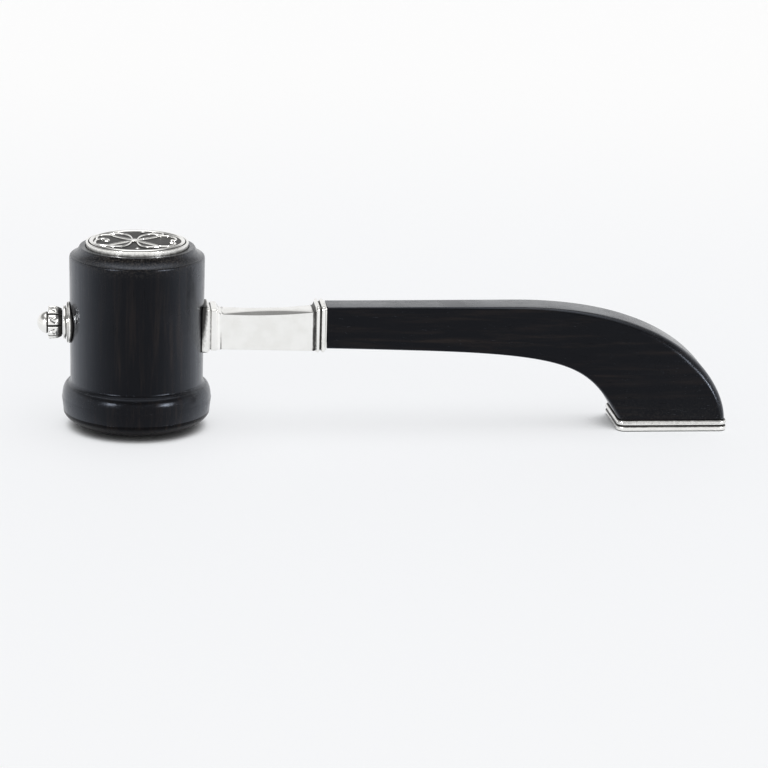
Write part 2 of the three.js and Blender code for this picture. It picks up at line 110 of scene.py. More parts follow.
class HeadSizes(bpy.types.PropertyGroup):
    """Sizes of the turned head: heights above the floor, radii from its axis."""

    sides: count("Sides", "Sides of the turned form", 256)
    flat_radius: length("Flat radius", "Flat in the middle of the striking face", 11)
    dome_height: length("Dome height", "Where the dome meets the flange", 6.6)
    dome_slim: length("Dome slimming", "How far the dome stays inside a plain ellipse", 0.3)
    edge_radius: length("Edge radius", "Flange where the dome meets it", 27.9)
    edge_rounding: length("Edge rounding", "Rounding of the flange's two edges", 0.3)
    flange_radius: length("Flange radius", "Widest part of the flange", 28.45)
    flange_height: length("Flange height", "Where the flange starts to round over", 11.8)
    flange_top_radius: length("Flange top radius", "Where the rounding ends", 26)
    flange_top_height: length("Flange top height", "Where the rounding ends", 17.2)
    cove_height: length("Cove height", "Where the cove runs out into the drum", 18.6)
    drum_foot: length("Drum foot", "Height at which the drum's radius is measured", 22)
    drum_radius: length("Drum radius", "Drum at its foot", 25.25)
    drum_top_radius: length("Drum top radius", "Drum at its upper edge", 25.6)
    arris_height: length("Arris height", "Upper end of the drum's side", 65.6)
    chamfer_radius: length("Chamfer radius", "Outer end of the hollow chamfer", 24.9)
    chamfer_height: length("Chamfer height", "Lower end of the hollow chamfer", 66.9)
    chamfer_hollow: length("Chamfer hollow", "Depth of the chamfer's hollow", 0.35)
    lip_radius: length("Lip radius", "Outer edge of the lip round the medallion", 21.75)
    lip_rounding: length("Lip rounding", "Rounding of the lip's outer edge", 0.25)
    seat_radius: length("Seat radius", "Shallow seat for the medallion", 19.7)
    seat_height: length("Seat height", "Floor of the seat", 68.1)


class MedallionSizes(bpy.types.PropertyGroup):
    """Sizes of the medallion and its relief, heights above its field."""

    sides: count("Sides", "Sides of the turned form", 192)
    radius: length("Radius", "Outer edge", 19.4)
    rise: length("Rise", "Field above the lip of the head", 1.8)
    rim_width: length("Rim width", "Flat rim at the outer edge", 1.0)
    rim_rounding: length("Rim rounding", "Rounding of the rim's edges", 0.3)
    ring_outer: length("Ring outer radius", "Outer edge of the raised ring", 18.15)
    ring_inner: length("Ring inner radius", "Inner edge of the raised ring", 16.5)
    ring_rise: length("Ring rise", "Height of the raised ring", 0.5)
    ring_groove: length("Ring groove", "Depth of the groove between rim and ring", 0.7)
    relief_turn: angle("Relief turn", "Turn of the whole relief", -4)
    relief_x: length("Relief shift X", "Relief off the centre along X", -1)
    relief_y: length("Relief shift Y", "Relief off the centre along Y", -0.4)
    leaf_x: length("Leaf spread X", "Leaf tip from the knot along X", 10.2)
    leaf_y: length("Leaf spread Y", "Leaf tip from the knot along Y", 9.9)
    leaf_wire: length("Leaf wire", "Width of the wire round each leaf", 0.9)
    leaf_rise: length("Leaf rise", "Height of the wire round each leaf", 0.66)
    leaf_field: length("Leaf field", "Height of the leaf inside its wire", 0.1)
    scroll_wire: length("Scroll wire", "Radius of the scrolls' wire", 0.46)
    scroll_rise: length("Scroll rise", "Height of the scrolls", 0.55)
    knot_radius: length("Knot radius", "Boss where the leaves meet", 1.5)
    bud_radius: length("Bud radius", "Small round buds", 0.85)
    bud_rise: length("Bud rise", "Height of the buds", 0.8)


class FinialSizes(bpy.types.PropertyGroup):
    """Sizes of the finial: radii about its own axis, lengths outwards from the drum."""

    sides: count("Sides", "Sides of the turned base", 160)
    lobes: count("Lobes", "Lobes of the crown", 8)
    height: length("Height", "Axis of the finial above the floor", 40.4)
    gap: length("Gap", "Between the base and the drum", 0.3)
    base_radius: length("Base radius", "Bead against the drum", 7.9)
    base_length: length("Base length", "Bead against the drum", 0.35)
    step_radius: length("Step radius", "Second bead", 7.7)
    step_length: length("Step length", "Second bead", 0.6)
    groove: length("Groove", "Depth of the grooves between the beads", 0.35)
    step_cut: length("Step cut", "Extra depth of the line between the two beads", 0.25)
    disc_radius: length("Disc radius", "Thin disc behind the crown", 6.4)
    disc_cut: length("Disc cut", "Extra depth of the groove behind the disc", 0.6)
    disc_gap: length("Disc gap", "Groove between second bead and disc", 0.25)
    disc_length: length("Disc length", "Thickness of the disc", 0.95)
    disc_edge: length("Disc edge", "Rounding of the disc", 0.2)
    waist_radius: length("Waist radius", "Waist behind the crown", 4.7)
    waist_length: length("Waist length", "Waist behind the crown", 0.25)
    crown_radius: length("Crown radius", "Widest part of the lobes", 6.3)
    crown_back: length("Crown back radius", "Lobes where they start", 5.2)
    crown_back_length: length("Crown back length", "Part that widens", 2.4)
    crown_length: length("Crown length", "Part of even width", 2.8)
    crown_front: length("Crown front radius", "Lobes where they end", 5.6)
    crown_edge: length("Crown edge", "Chamfer at the lobes' front", 0.5)
    lobe_groove: length("Lobe groove", "Depth of the grooves between the lobes", 0.85)
    nick: length("Nick", "Depth of the chisel marks on the lobes", 0.3)
    tip_radius: length("Tip radius", "Smooth domed tip", 4.28)
    tip_sink: length("Tip sink", "Centre of the dome behind the crown's front", 0.15)
    neck_radius: length("Neck radius", "Groove between crown and tip", 3.95)
    neck_length: length("Neck length", "Groove between crown and tip", 0.35)


class FerruleSizes(bpy.types.PropertyGroup):
    """Sizes of the ferrule: lengths along the handle, then sections."""

    axis: length("Axis", "Middle of saddle and block above the floor", 38.9)
    saddle_thickness: length("Saddle thickness", "Plate against the drum", 1.75)
    saddle_height: length("Saddle height", "Plate against the drum", 17.9)
    saddle_depth: length("Saddle depth", "Plate against the drum", 15.4)
    saddle_corner: length("Saddle corner", "Corner of the plate", 1.5)
    saddle_edge: length("Saddle edge", "Rounding of the plate's edge", 0.4)
    block_length: length("Block length", "Block in front of the plate", 3.2)
    block_height: length("Block height", "Block in front of the plate", 16.2)
    block_depth: length("Block depth", "Block in front of the plate", 14)
    block_corner: length("Block corner", "Corner of the block", 0.8)
    block_edge: length("Block edge", "Rounding of the block's edge", 0.3)
    block_groove: length("Block groove", "Line cut at the foot of the block", 0.35)
    neck_length: length("Neck length", "Hollow between block and shank", 2)
    neck_corner: length("Neck corner", "Corner of the hollow neck", 0.5)
    shank_length: length("Shank length", "Rectangular shank", 34.7)
    shank_drop: length("Shank drop", "Shank below the block's middle", 0.8)
    shank_start: length("Shank start height", "Height of the shank at the head", 13.8)
    shank_end: length("Shank end height", "Height of the shank at the collar", 15.2)
    shank_depth: length("Shank depth", "Across the shank", 12.4)
    facet_across: length("Facet across", "Long facets of the shank, across its top", 3.6)
    facet_down: length("Facet down", "Long facets of the shank, down its sides", 0.7)
    shank_corner: length("Shank corner", "Edges of the shank at both ends", 0.2)
    collar_length: length("Collar length", "Two beads in front of the handle", 5)
    collar_cove: length("Collar cove", "Cove between shank and beads", 0.95)
    collar_proud: length("Collar proud", "Beads beyond the handle's sides", 1.4)
    collar_proud_top: length("Collar proud top", "Beads above the handle", 0.6)
    first_bead: length("First bead", "Length of the bead beside the cove", 1.5)
    second_bead: length("Second bead", "Length of the bead beside the handle", 1.65)
    bead_gap: length("Bead gap", "Flat between the beads", 0.5)
    bead_groove: length("Bead groove", "Depth of the groove between the beads", 0.95)
    bead_corner: length("Bead corner", "Corner of the beads", 1.6)


class HandleSizes(bpy.types.PropertyGroup):
    """Sizes of the handle: its top line and underside are each a straight run and one curve."""

    stations: count("Stations", "Sections along the handle", 170)
    height: length("Grip height", "Section where the handle leaves the ferrule", 16.2)
    depth: length("Grip depth", "Section where the handle leaves the ferrule", 12.4)
    lift: length("Grip lift", "Middle of the grip above the ferrule's axis", 0.55)
    gap: length("Gap", "Between wood and silver", 0.3)
    tenon: length("Tenon", "Length of the tenon in the collar", 4)
    shoulder: length("Shoulder", "Shoulder round the tenon", 1.8)
    top_run: length("Top run", "Straight part of the top line", 73)
    top_rise: length("Top rise", "Rise of the straight part", 0.25)
    top_sweep: length("Top sweep", "Strength of the curve where it starts", 66.8)
    toe_reach: length("Toe reach", "Toe from the start of the handle", 155.2)
    toe_sweep: length("Toe sweep", "Strength of the curve at the toe", 12.2)
    under_run: length("Underside run", "Straight part of the underside", 37)
    under_fall: length("Underside fall", "Fall of the straight part", 0.85)
    under_sweep: length("Underside sweep", "Strength of the curve where it starts", 59.5)
    heel_reach: length("Heel reach", "Heel from the start of the handle", 113.5)
    heel_sweep: length("Heel sweep", "Strength of the curve at the heel", 23.7)
    heel_lean: angle("Heel lean", "Lean of the underside where it meets the shoe", 31)
    foot_depth: length("Foot depth", "Across the foot", 26.6)
    corner_grip: length("Grip corner", "Upper corners at the grip", 0.8)
    corner_bend: length("Bend corner", "Upper corners at the bend", 4.6)
    corner_foot: length("Foot corner", "Corners at the shoe", 2.4)
    corner_under: length("Underside corner", "Lower corners at the grip", 0.8)


class ShoeSizes(bpy.types.PropertyGroup):
    """Sizes of the silver shoe under the foot."""

    height: length("Height", "Top of the shoe", 4.3)
    sole: length("Sole", "Thickness under the wood", 1.2)
    proud: length("Proud", "Beads beyond the foot", 0.85)
    groove: length("Groove", "Depth of the grooves beside the beads", 0.75)
    lower: share("Lower bead", "Share of the height that the lower bead takes", 0.54)
    rebate: length("Rebate", "Wood cut back inside the shoe", 0.8)


class Finish(bpy.types.PropertyGroup):
    """Colours and gloss of wood and silver."""

    ebony: colour("Ebony", "Ground colour of the wood", (0.0060, 0.0058, 0.0066))
    ebony_streak: colour("Ebony streak", "Paler streaks along the grain", (0.022, 0.0165, 0.014))
    dust: colour("Dust", "Pale dust in the pores", (0.060, 0.054, 0.048))
    ebony_gloss: share("Ebony roughness", "Roughness of the waxed wood", 0.21)
    ebony_shine: share("Ebony shine", "Strength of reflections seen straight on", 0.105)
    ebony_shine_edge: share("Ebony edge shine", "Strength of reflections seen at a glance", 1.0)
    ebony_sheen: colour("Ebony sheen", "Tint of the reflections", (0.74, 0.83, 1.0))
    silver: colour("Silver", "Polished silver", (0.91, 0.905, 0.88))
    silver_worn: colour("Worn silver", "Duller patches of the silver", (0.74, 0.73, 0.69))
    tarnish: colour("Tarnish", "Dark oxide left in the hollows", (0.022, 0.021, 0.019))
    silver_gloss: share("Silver roughness", "Roughness of the polished silver", 0.13)


class Studio(bpy.types.PropertyGroup):
    """Floor, light and the camera's place."""

    floor: colour("Floor", "Pale floor round the mallet", (0.945, 0.955, 0.972))
    floor_far: colour("Far floor", "Pale floor farther off", (1.0, 1.0, 1.0))
    floor_glow: share("Floor glow", "Share of the floor's light that is its own", 0.68)
    shadow_reach: length("Shadow reach", "How far the floor darkens round things that stand on it", 30)
    sky_overhead: strength("Overhead", "Brightness of the sky overhead", 1.9)
    sky_low: share("Low sky", "Brightness round the horizon, as a share of overhead", 0.5)
    sky_dark: share("Dark sky", "Brightness half way up, as a share of overhead", 0.145)
    left_light: strength("Left light", "Strength of the soft light from the left", 1.9)
    right_light: strength("Right light", "Strength of the soft light from the right", 2.2)
    left_side: direction("Left side", "Where the left light comes from", (-0.644, -0.69, 0.33))
    right_side: direction("Right side", "Where the right light comes from", (0.69, -0.672, 0.27))
    light_spread: angle("Light spread", "Width of the soft lights as seen from the mallet", 14)
    camera_place: bpy.props.FloatVectorProperty(
        name="Camera place",
        description="Place of the camera",
        default=(-0.0293, -1.0636, 0.3106),
        unit="LENGTH",
    )
    camera_turn: angle("Camera turn", "Turn to the right of straight ahead", 6.68)
    camera_dip: angle("Camera dip", "Tilt below the horizon", 15.4)
    camera_roll: angle("Camera roll", "Roll about the line of sight", 1.59)
    lens: bpy.props.FloatProperty(
        name="Lens", description="Focal length in millimetres", default=134.7, min=1
    )


# Shapes


def arc(centre, radii, start, end, steps):
    """Points on an elliptical arc, with its angles in degrees."""
    turns = np.radians(np.linspace(start, end, steps + 1))
    return [(centre[0] + radii[0] * math.cos(t), centre[1] + radii[1] * math.sin(t)) for t in turns]


def mix(a, b, part):
    """The value a share of the way from a to b."""
    return a + (b - a) * part


def bezier(points, steps):
    """Points along a cubic curve in the plane."""
    t = np.linspace(0, 1, steps + 1)[:, None]
    a, b, c, d = (np.array(p, float) for p in points)
    return a * (1 - t) ** 3 + 3 * b * t * (1 - t) ** 2 + 3 * c * t**2 * (1 - t) + d * t**3


def evenly(points, shares):
    """Points at shares of the length of a line of points."""
    points = np.asarray(points, float)
    run = np.concatenate([[0], np.cumsum(np.linalg.norm(np.diff(points, axis=0), axis=1))])
    at = np.asarray(shares) * run[-1]
    return np.stack([np.interp(at, run, points[:, axis]) for axis in range(points.shape[1])], axis=1)


CORNER_SHARES = np.linspace(0, 1, 11)


def rounded(width, height, upper, lower):
    """A rectangle round the origin with rounded corners."""
    out = []
    corners = ((1, 1, upper), (-1, 1, upper), (-1, -1, lower), (1, -1, lower))
    for quarter, (side_x, side_y, radius) in enumerate(corners):
        centre = np.array([side_x * (width / 2 - radius), side_y * (height / 2 - radius)])
        turns = (quarter + CORNER_SHARES) * math.pi / 2
        out.append(centre + radius * np.stack([np.cos(turns), np.sin(turns)], axis=1))
    return np.concatenate(out)


def standing(x, middle, outline):
    """An outline of Y and Z set upright across the handle at x."""
    return np.column_stack([np.full(len(outline), x), outline[:, 0], middle + outline[:, 1]])


def across(x, bottom, top, depth, corner):
    """A section across the handle at x, with rounded corners."""
    return standing(x, (bottom + top) / 2, rounded(depth, top - bottom, corner, corner))


def planed(x, bottom, top, depth, facet, corner):
    """A section across the shank at x: its upper corners are facets, so far across and so far down."""
    side, rise = depth / 2, (top - bottom) / 2
    wide, deep = facet
    ends = (
        ((side, rise - deep), (side - wide, rise)),
        ((wide - side, rise), (-side, rise - deep)),
        ((-side, corner - rise), (corner - side, -rise)),
        ((side - corner, -rise), (side, corner - rise)),
    )
    return standing(x, (bottom + top) / 2, np.concatenate([evenly(pair, CORNER_SHARES) for pair in ends]))


def lofted(rings):
    """Points and faces of a closed body through rings of equal point count, with flat ends."""
    size = len(rings[0])
    faces = []
    for ring in range(len(rings) - 1):
        for i in range(size):
            a, b = ring * size + i, ring * size + (i + 1) % size
            faces.append((a, b, b + size, a + size))
    last = (len(rings) - 1) * size
    faces.append(tuple(range(size - 1, -1, -1)))
    faces.append(tuple(range(last, last + size)))
    return np.concatenate(rings), faces


def plain_mesh(name, points, faces=(), edges=()):
    """A mesh datablock from points, faces and edges."""
    mesh = bpy.data.meshes.new(name)
    mesh.from_pydata(np.asarray(points).tolist(), list(edges), list(faces))
    return mesh


def line_mesh(name, points):
    """A mesh of one line of edges."""
    return plain_mesh(name, points, edges=[(i, i + 1) for i in range(len(points) - 1)])


def placed(mesh, turn=None, shift=(0, 0, 0)):
    """The mesh turned by a matrix and then shifted."""
    mesh.transform(Matrix.Translation(shift) @ (turn.to_4x4() if turn else Matrix.Identity(4)))
    return mesh


def linked(name, data):
    """A new object in the scene, in place of any earlier one of that name."""
    old = bpy.data.objects.get(name)
    if old:
        bpy.data.objects.remove(old)
    made = bpy.data.objects.new(name, data)
    bpy.context.scene.collection.objects.link(made)
    return made


def joined(name, meshes, crease=30):
    """One object from several meshes, with doubles merged, faces turned outwards and crisp edges kept."""
    body = bmesh.new()
    for mesh in meshes:
        body.from_mesh(mesh)
        bpy.data.meshes.remove(mesh)
    bmesh.ops.remove_doubles(body, verts=body.verts, dist=1e-6)
    bmesh.ops.dissolve_degenerate(body, edges=body.edges, dist=1e-7)
    bmesh.ops.recalc_face_normals(body, faces=body.faces)
    whole = bpy.data.meshes.new(name)
    body.to_mesh(whole)
    body.free()
    whole.shade_smooth()
    whole.set_sharp_from_angle(angle=math.radians(crease))
    return linked(name, whole)


def settle(piece, material, slot, *nodes):
    """Gives a finished piece its material and its body, and hides the solids that it stands for; the slot is
    not used.
    """
    for node in nodes:
        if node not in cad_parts:
            raise RuntimeError(f"the frame has no solid named {node}")
    piece.data.materials.clear()
    piece.data.materials.append(material)
    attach(piece, "root")
    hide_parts(*nodes)


# Node trees for forms


def add(tree, kind, inputs=None, **settings):
    """A node with its settings, and its inputs set to values or linked to sockets."""
    node = tree.nodes.new(kind)
    for key, value in settings.items():
        setattr(node, key, value)
    for key, value in (inputs or {}).items():
        if isinstance(value, bpy.types.NodeSocket):
            tree.links.new(value, node.inputs[key])
        else:
            node.inputs[key].default_value = value
    return node


def form_tree(name, sockets):
    """A new geometry node tree: the tree, its given sockets by name, and a call that ends it."""
    tree = bpy.data.node_groups.new(name, "GeometryNodeTree")
    tree.interface.new_socket("Geometry", in_out="OUTPUT", socket_type="NodeSocketGeometry")
    tree.interface.new_socket("Geometry", in_out="INPUT", socket_type="NodeSocketGeometry")
    for label, kind in {**sockets, "Material": "NodeSocketMaterial"}.items():
        tree.interface.new_socket(label, in_out="INPUT", socket_type=kind)
    given = tree.nodes.new("NodeGroupInput").outputs

    def end(geometry):
        real = add(tree, "GeometryNodeRealizeInstances", {"Geometry": geometry})
        inputs = {"Geometry": real.outputs[0], "Material": given["Material"]}
        inked = add(tree, "GeometryNodeSetMaterial", inputs)
        tree.links.new(inked.outputs[0], tree.nodes.new("NodeGroupOutput").inputs[0])
        return tree

    return tree, given, end


def turned_tree():
    """Turns a profile, drawn with X from the swing radius outwards and Y downwards, about the Z axis."""
    tree, given, end = form_tree("Turned form", {"Sides": "NodeSocketInt", "Swing": "NodeSocketFloat"})
    outline = add(tree, "GeometryNodeMeshToCurve", {"Mesh": given["Geometry"]})
    circle = add(
        tree, "GeometryNodeCurvePrimitiveCircle", {"Resolution": given["Sides"], "Radius": given["Swing"]}
    )
    level = add(tree, "GeometryNodeSetCurveNormal", {"Curve": circle.outputs[0]}, mode="Z_UP")
    skin = add(
        tree, "GeometryNodeCurveToMesh", {"Curve": level.outputs[0], "Profile Curve": outline.outputs[0]}
    )
    closed = add(tree, "GeometryNodeMergeByDistance", {"Geometry": skin.outputs[0], "Distance": 1e-6})
    return end(closed.outputs[0])


def repeated_tree():
    """Repeats a sector evenly about the Z axis and closes the seams."""
    tree, given, end = form_tree("Repeated about an axis", {"Copies": "NodeSocketInt"})
    places = add(tree, "GeometryNodeMeshLine", {"Count": given["Copies"], "Offset": (0, 0, 0)})
    index = add(tree, "GeometryNodeInputIndex")
    step = add(tree, "ShaderNodeMath", {0: math.tau, 1: given["Copies"]}, operation="DIVIDE")
    turn = add(tree, "ShaderNodeMath", {0: index.outputs[0], 1: step.outputs[0]}, operation="MULTIPLY")
    about = add(tree, "ShaderNodeCombineXYZ", {"Z": turn.outputs[0]})
    copies = add(
        tree,
        "GeometryNodeInstanceOnPoints",
        {"Points": places.outputs[0], "Instance": given["Geometry"], "Rotation": about.outputs[0]},
    )
    real = add(tree, "GeometryNodeRealizeInstances", {"Geometry": copies.outputs[0]})
    closed = add(tree, "GeometryNodeMergeByDistance", {"Geometry": real.outputs[0], "Distance": 2e-6})
    return end(closed.outputs[0])


def mirrored_tree():
    """Sets four copies of a form into the four quarters, mirrored in X and in Y."""
    tree, given, end = form_tree("Mirrored in four", {})
    places = add(tree, "GeometryNodeMeshLine", {"Count": 4, "Offset": (0, 0, 0)})
    index = add(tree, "GeometryNodeInputIndex")
    half = add(tree, "ShaderNodeMath", {0: index.outputs[0], 1: 2.0}, operation="DIVIDE")
    row = add(tree, "ShaderNodeMath", {0: half.outputs[0]}, operation="FLOOR")
    column = add(tree, "ShaderNodeMath", {0: index.outputs[0], 1: 2.0}, operation="MODULO")
    signs = [
        add(tree, "ShaderNodeMath", {0: source.outputs[0], 1: -2.0, 2: 1.0}, operation="MULTIPLY_ADD")
        for source in (column, row)
    ]
    flip = add(tree, "ShaderNodeCombineXYZ", {"X": signs[0].outputs[0], "Y": signs[1].outputs[0], "Z": 1.0})
    copies = add(
        tree,
        "GeometryNodeInstanceOnPoints",
        {"Points": places.outputs[0], "Instance": given["Geometry"], "Scale": flip.outputs[0]},
    )
    return end(copies.outputs[0])


def wire_tree():
    """Lays a round wire along lines, as thick at each point as the attribute thickness says."""
    tree, given, end = form_tree("Wire along a path", {"Radius": "NodeSocketFloat", "Sides": "NodeSocketInt"})
    path = add(tree, "GeometryNodeMeshToCurve", {"Mesh": given["Geometry"]})
    level = add(tree, "GeometryNodeSetCurveNormal", {"Curve": path.outputs[0]}, mode="Z_UP")
    thick = add(tree, "GeometryNodeInputNamedAttribute", {"Name": "thickness"}, data_type="FLOAT")
    sized = add(
        tree, "GeometryNodeSetCurveRadius", {"Curve": level.outputs[0], "Radius": thick.outputs["Attribute"]}
    )
    section = add(
        tree, "GeometryNodeCurvePrimitiveCircle", {"Resolution": given["Sides"], "Radius": given["Radius"]}
    )
    skin = add(
        tree,
        "GeometryNodeCurveToMesh",
        {
            "Curve": sized.outputs[0],
            "Profile Curve": section.outputs[0],
            "Scale": thick.outputs["Attribute"],
            "Fill Caps": True,
        },
    )
    return end(skin.outputs[0])


def grown(tree, mesh, inputs):
    """The plain mesh that a node tree makes from a mesh and its named inputs."""
    holder = bpy.data.objects.new("Growing", mesh)
    bpy.context.scene.collection.objects.link(holder)
    modifier = holder.modifiers.new("Form", "NODES")
    modifier.node_group = tree
    for item in tree.interface.items_tree:
        if item.in_out == "INPUT" and item.name in inputs:
            modifier[item.identifier] = inputs[item.name]
    depsgraph = bpy.context.evaluated_depsgraph_get()
    done = bpy.data.meshes.new_from_object(
        holder.evaluated_get(depsgraph), preserve_all_data_layers=True, depsgraph=depsgraph
    )
    holder.modifiers.remove(modifier)
    bpy.data.objects.remove(holder)
    bpy.data.meshes.remove(mesh)
    bpy.data.node_groups.remove(tree)
    if not done.polygons:
        raise RuntimeError(f"the form {done.name} came out empty")
    return done


def turned(name, profile, sides, material):
    """A mesh turned about the Z axis from points of radius and height."""
    swing = max(radius for radius, _ in profile)
    line = line_mesh(name, [(radius - swing, -height, 0) for radius, height in profile])
    return grown(turned_tree(), line, {"Sides": sides, "Swing": swing, "Material": material})


# Materials


def new_material(name):
    """A node material: its tree, its Principled node and its Object coordinates."""
    old = bpy.data.materials.get(name)
    if old:
        bpy.data.materials.remove(old)
    material = bpy.data.materials.new(name)
    material.use_nodes = True
    tree = material.node_tree
    coords = add(tree, "ShaderNodeTexCoord").outputs["Object"]
    return material, tree, tree.nodes["Principled BSDF"], coords


def noise(tree, coords, scale, detail=3, roughness=0.5, place=(0, 0, 0)):
    """A noise value with its own scale along each axis, in waves to the metre."""
    mapped = add(tree, "ShaderNodeMapping", {"Vector": coords, "Scale": scale, "Location": place})
    made = add(
        tree,
        "ShaderNodeTexNoise",
        {"Vector": mapped.outputs[0], "Scale": 1.0, "Detail": detail, "Roughness": roughness},
    )
    return made.outputs["Fac"]


def ramp(tree, value, low, high, start=0.0, end=1.0):
    """A smooth step of a value between two limits."""
    made = add(
        tree,
        "ShaderNodeMapRange",
        {"Value": value, "From Min": low, "From Max": high, "To Min": start, "To Max": end},
        interpolation_type="SMOOTHSTEP",
    )
    return made.outputs["Result"]


def blend(tree, factor, first, second):
    """A mix of two colours."""
    made = add(tree, "ShaderNodeMix", {0: factor}, data_type="RGBA")
    for socket, value in ((made.inputs[6], first), (made.inputs[7], second)):
        if isinstance(value, bpy.types.NodeSocket):
            tree.links.new(value, socket)
        else:
            socket.default_value = (*value, 1)
    return made.outputs[2]


def maths(tree, operation, *values):
    """The result of a sum on values or sockets."""
    return add(tree, "ShaderNodeMath", dict(enumerate(values)), operation=operation).outputs[0]


def bump(tree, height, distance, before=None):
    """A bump of a height in metres, over an earlier one."""
    inputs = {"Height": height, "Distance": distance, "Strength": 1.0}
    if before:
        inputs["Normal"] = before
    return add(tree, "ShaderNodeBump", inputs).outputs[0]


def ebony_material(name, grain, finish, dust_heights, dusting, reflection_shade_heights):
    """Waxed ebony: near black, glossy at a glance, with faint streaks, pores and scratches along the grain.

    Pale dust lies in the pores, most at the second of two heights. Reflections are held down below the first
    of two more heights and grow to full at the second: painted shade low down, as on the head's dome.
    """
    material, tree, shader, coords = new_material(name)

    def along(wide, long):
        return tuple(long if axis == grain else wide for axis in range(3))

    streaks = noise(tree, coords, along(480, 32), 6, 0.62)
    figure = noise(tree, coords, along(70, 5), 3, 0.5, (3, 1, 7))
    pores = noise(tree, coords, along(2600, 130), 2, 0.5, (5, 2, 9))
    scratches = noise(tree, coords, along(3200, 24), 1, 0.4, (1, 8, 4))
    wear = noise(tree, coords, (55, 55, 55), 4, 0.6, (2, 6, 3))
    specks = noise(tree, coords, (1500, 1500, 1500), 3, 0.7, (6, 3, 2))
    paler = maths(tree, "MULTIPLY", ramp(tree, streaks, 0.45, 0.75), ramp(tree, figure, 0.35, 0.7, 0.25, 1.0))
    base = blend(tree, paler, finish.ebony, finish.ebony_streak)
    pits = ramp(tree, pores, 0.64, 0.74)
    pitted_base = blend(tree, pits, base, (0.004, 0.0035, 0.0035))
    height = add(tree, "ShaderNodeSeparateXYZ", {"Vector": coords}).outputs["Z"]
    settled = ramp(tree, height, *dust_heights, 0, dusting)
    dusty = maths(tree, "MULTIPLY", ramp(tree, specks, 0.42, 0.7), settled)
    tree.links.new(blend(tree, dusty, pitted_base, finish.dust), shader.inputs["Base Color"])
    gloss = ramp(tree, wear, 0.3, 0.7, finish.ebony_gloss - 0.06, finish.ebony_gloss + 0.09)
    tree.links.new(gloss, shader.inputs["Roughness"])
    glance = add(tree, "ShaderNodeLayerWeight", {"Blend": 0.5}).outputs["Facing"]
    shine = ramp(tree, glance, 0.02, 0.75, finish.ebony_shine, finish.ebony_shine_edge)
    # Painted shade: reflections held down low on the piece
    glossy = maths(tree, "MULTIPLY", shine, ramp(tree, height, *reflection_shade_heights, 0.12, 1.0))
    tree.links.new(glossy, shader.inputs["Specular IOR Level"])
    shader.inputs["Specular Tint"].default_value = (*finish.ebony_sheen, 1)
    rough = bump(tree, streaks, 0.00009)
    pitted = bump(tree, pits, -0.00004, rough)
    scored = bump(tree, ramp(tree, scratches, 0.7, 0.76), -0.000012, pitted)
    tree.links.new(scored, shader.inputs["Normal"])
    return material


def silver_material(name, finish):
    """Polished silver, darkened as far as its stored attribute says: tarnish in the hollows, and in places
    painted shade and dark reflections.
    """
    material, tree, shader, coords = new_material(name)
    tarnish_and_shade = add(tree, "ShaderNodeAttribute", attribute_name="tarnish_and_shade").outputs["Fac"]
    blotch = noise(tree, coords, (900, 900, 900), 4, 0.6)
    cloud = noise(tree, coords, (160, 160, 160), 3, 0.5, (4, 4, 1))
    hair = noise(tree, coords, (5200, 260, 5200), 2, 0.5)
    uneven = maths(tree, "MULTIPLY_ADD", blotch, 0.3, tarnish_and_shade)
    dark = ramp(tree, uneven, 0.42, 0.78)
    tone = blend(tree, ramp(tree, cloud, 0.35, 0.7, 0.0, 0.35), finish.silver, finish.silver_worn)
    tree.links.new(blend(tree, dark, tone, finish.tarnish), shader.inputs["Base Color"])
    tree.links.new(ramp(tree, dark, 0, 1, 1.0, 0.35), shader.inputs["Metallic"])
    worn = ramp(tree, cloud, 0.3, 0.7, finish.silver_gloss - 0.04, finish.silver_gloss + 0.06)
    tree.links.new(maths(tree, "MULTIPLY_ADD", dark, 0.35, worn), shader.inputs["Roughness"])
    waved = bump(tree, cloud, 0.00006)
    scored = bump(tree, ramp(tree, hair, 0.62, 0.72), -0.000004, waved)
    tree.links.new(scored, shader.inputs["Normal"])
    return material


def directions(number):
    """Directions spread evenly over a sphere."""
    k = np.arange(number) + 0.5
    height = 1 - 2 * k / number
    ring = np.sqrt(1 - height**2)
    turn = math.pi * (1 + math.sqrt(5)) * k
    return [Vector(v) for v in np.stack([ring * np.cos(turn), ring * np.sin(turn), height], axis=1).tolist()]


def store_tarnish_and_shade(piece, values):
    """Stores at each point how dark the silver is, from 0 to 1: tarnish in hollows, and in places painted
    shade and dark reflections.
    """
    layer = piece.data.attributes.new("tarnish_and_shade", "FLOAT", "POINT")
    layer.data.foreach_set("value", np.asarray(values, np.float32))


def hollows(piece, reach, gain, others=()):
    """How deep in a hollow each point lies, from 0 on open faces to 1, beside other named pieces."""
    mesh = piece.data
    points, faces = [], []
    for source in (piece, *(bpy.data.objects[name] for name in others)):
        start = len(points)
        points += [v.co.copy() for v in source.data.vertices]
        faces += [[start + i for i in polygon.vertices] for polygon in source.data.polygons]
    surface = BVHTree.FromPolygons(points, faces)
    rays = directions(40)
    values = np.zeros(len(mesh.vertices), np.float32)
    for vertex in mesh.vertices:
        start = vertex.co + vertex.normal * 2e-5
        open_share = hidden = 0.0
        for ray in rays:
            weight = ray.dot(vertex.normal)
            if weight < 0.2:
                continue
            open_share += weight
            distance = surface.ray_cast(start, ray, reach)[3]
            if distance is not None:
                hidden += weight * (1 - 0.5 * distance / reach)
        values[vertex.index] = min(1.0, gain * hidden / open_share)
    return values


def points_of(piece):
    """The points of a piece as rows."""
    return np.array([v.co for v in piece.data.vertices])


# Pieces


def head_top():
    """Height of the head's lip, from the head's own solid."""
    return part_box("head")[1].z


def drum_radius(head, height):
    """Radius of the drum between its foot and the arris."""
    part = (height - head.drum_foot) / (head.arris_height - head.drum_foot)
    return mix(head.drum_radius, head.drum_top_radius, part)


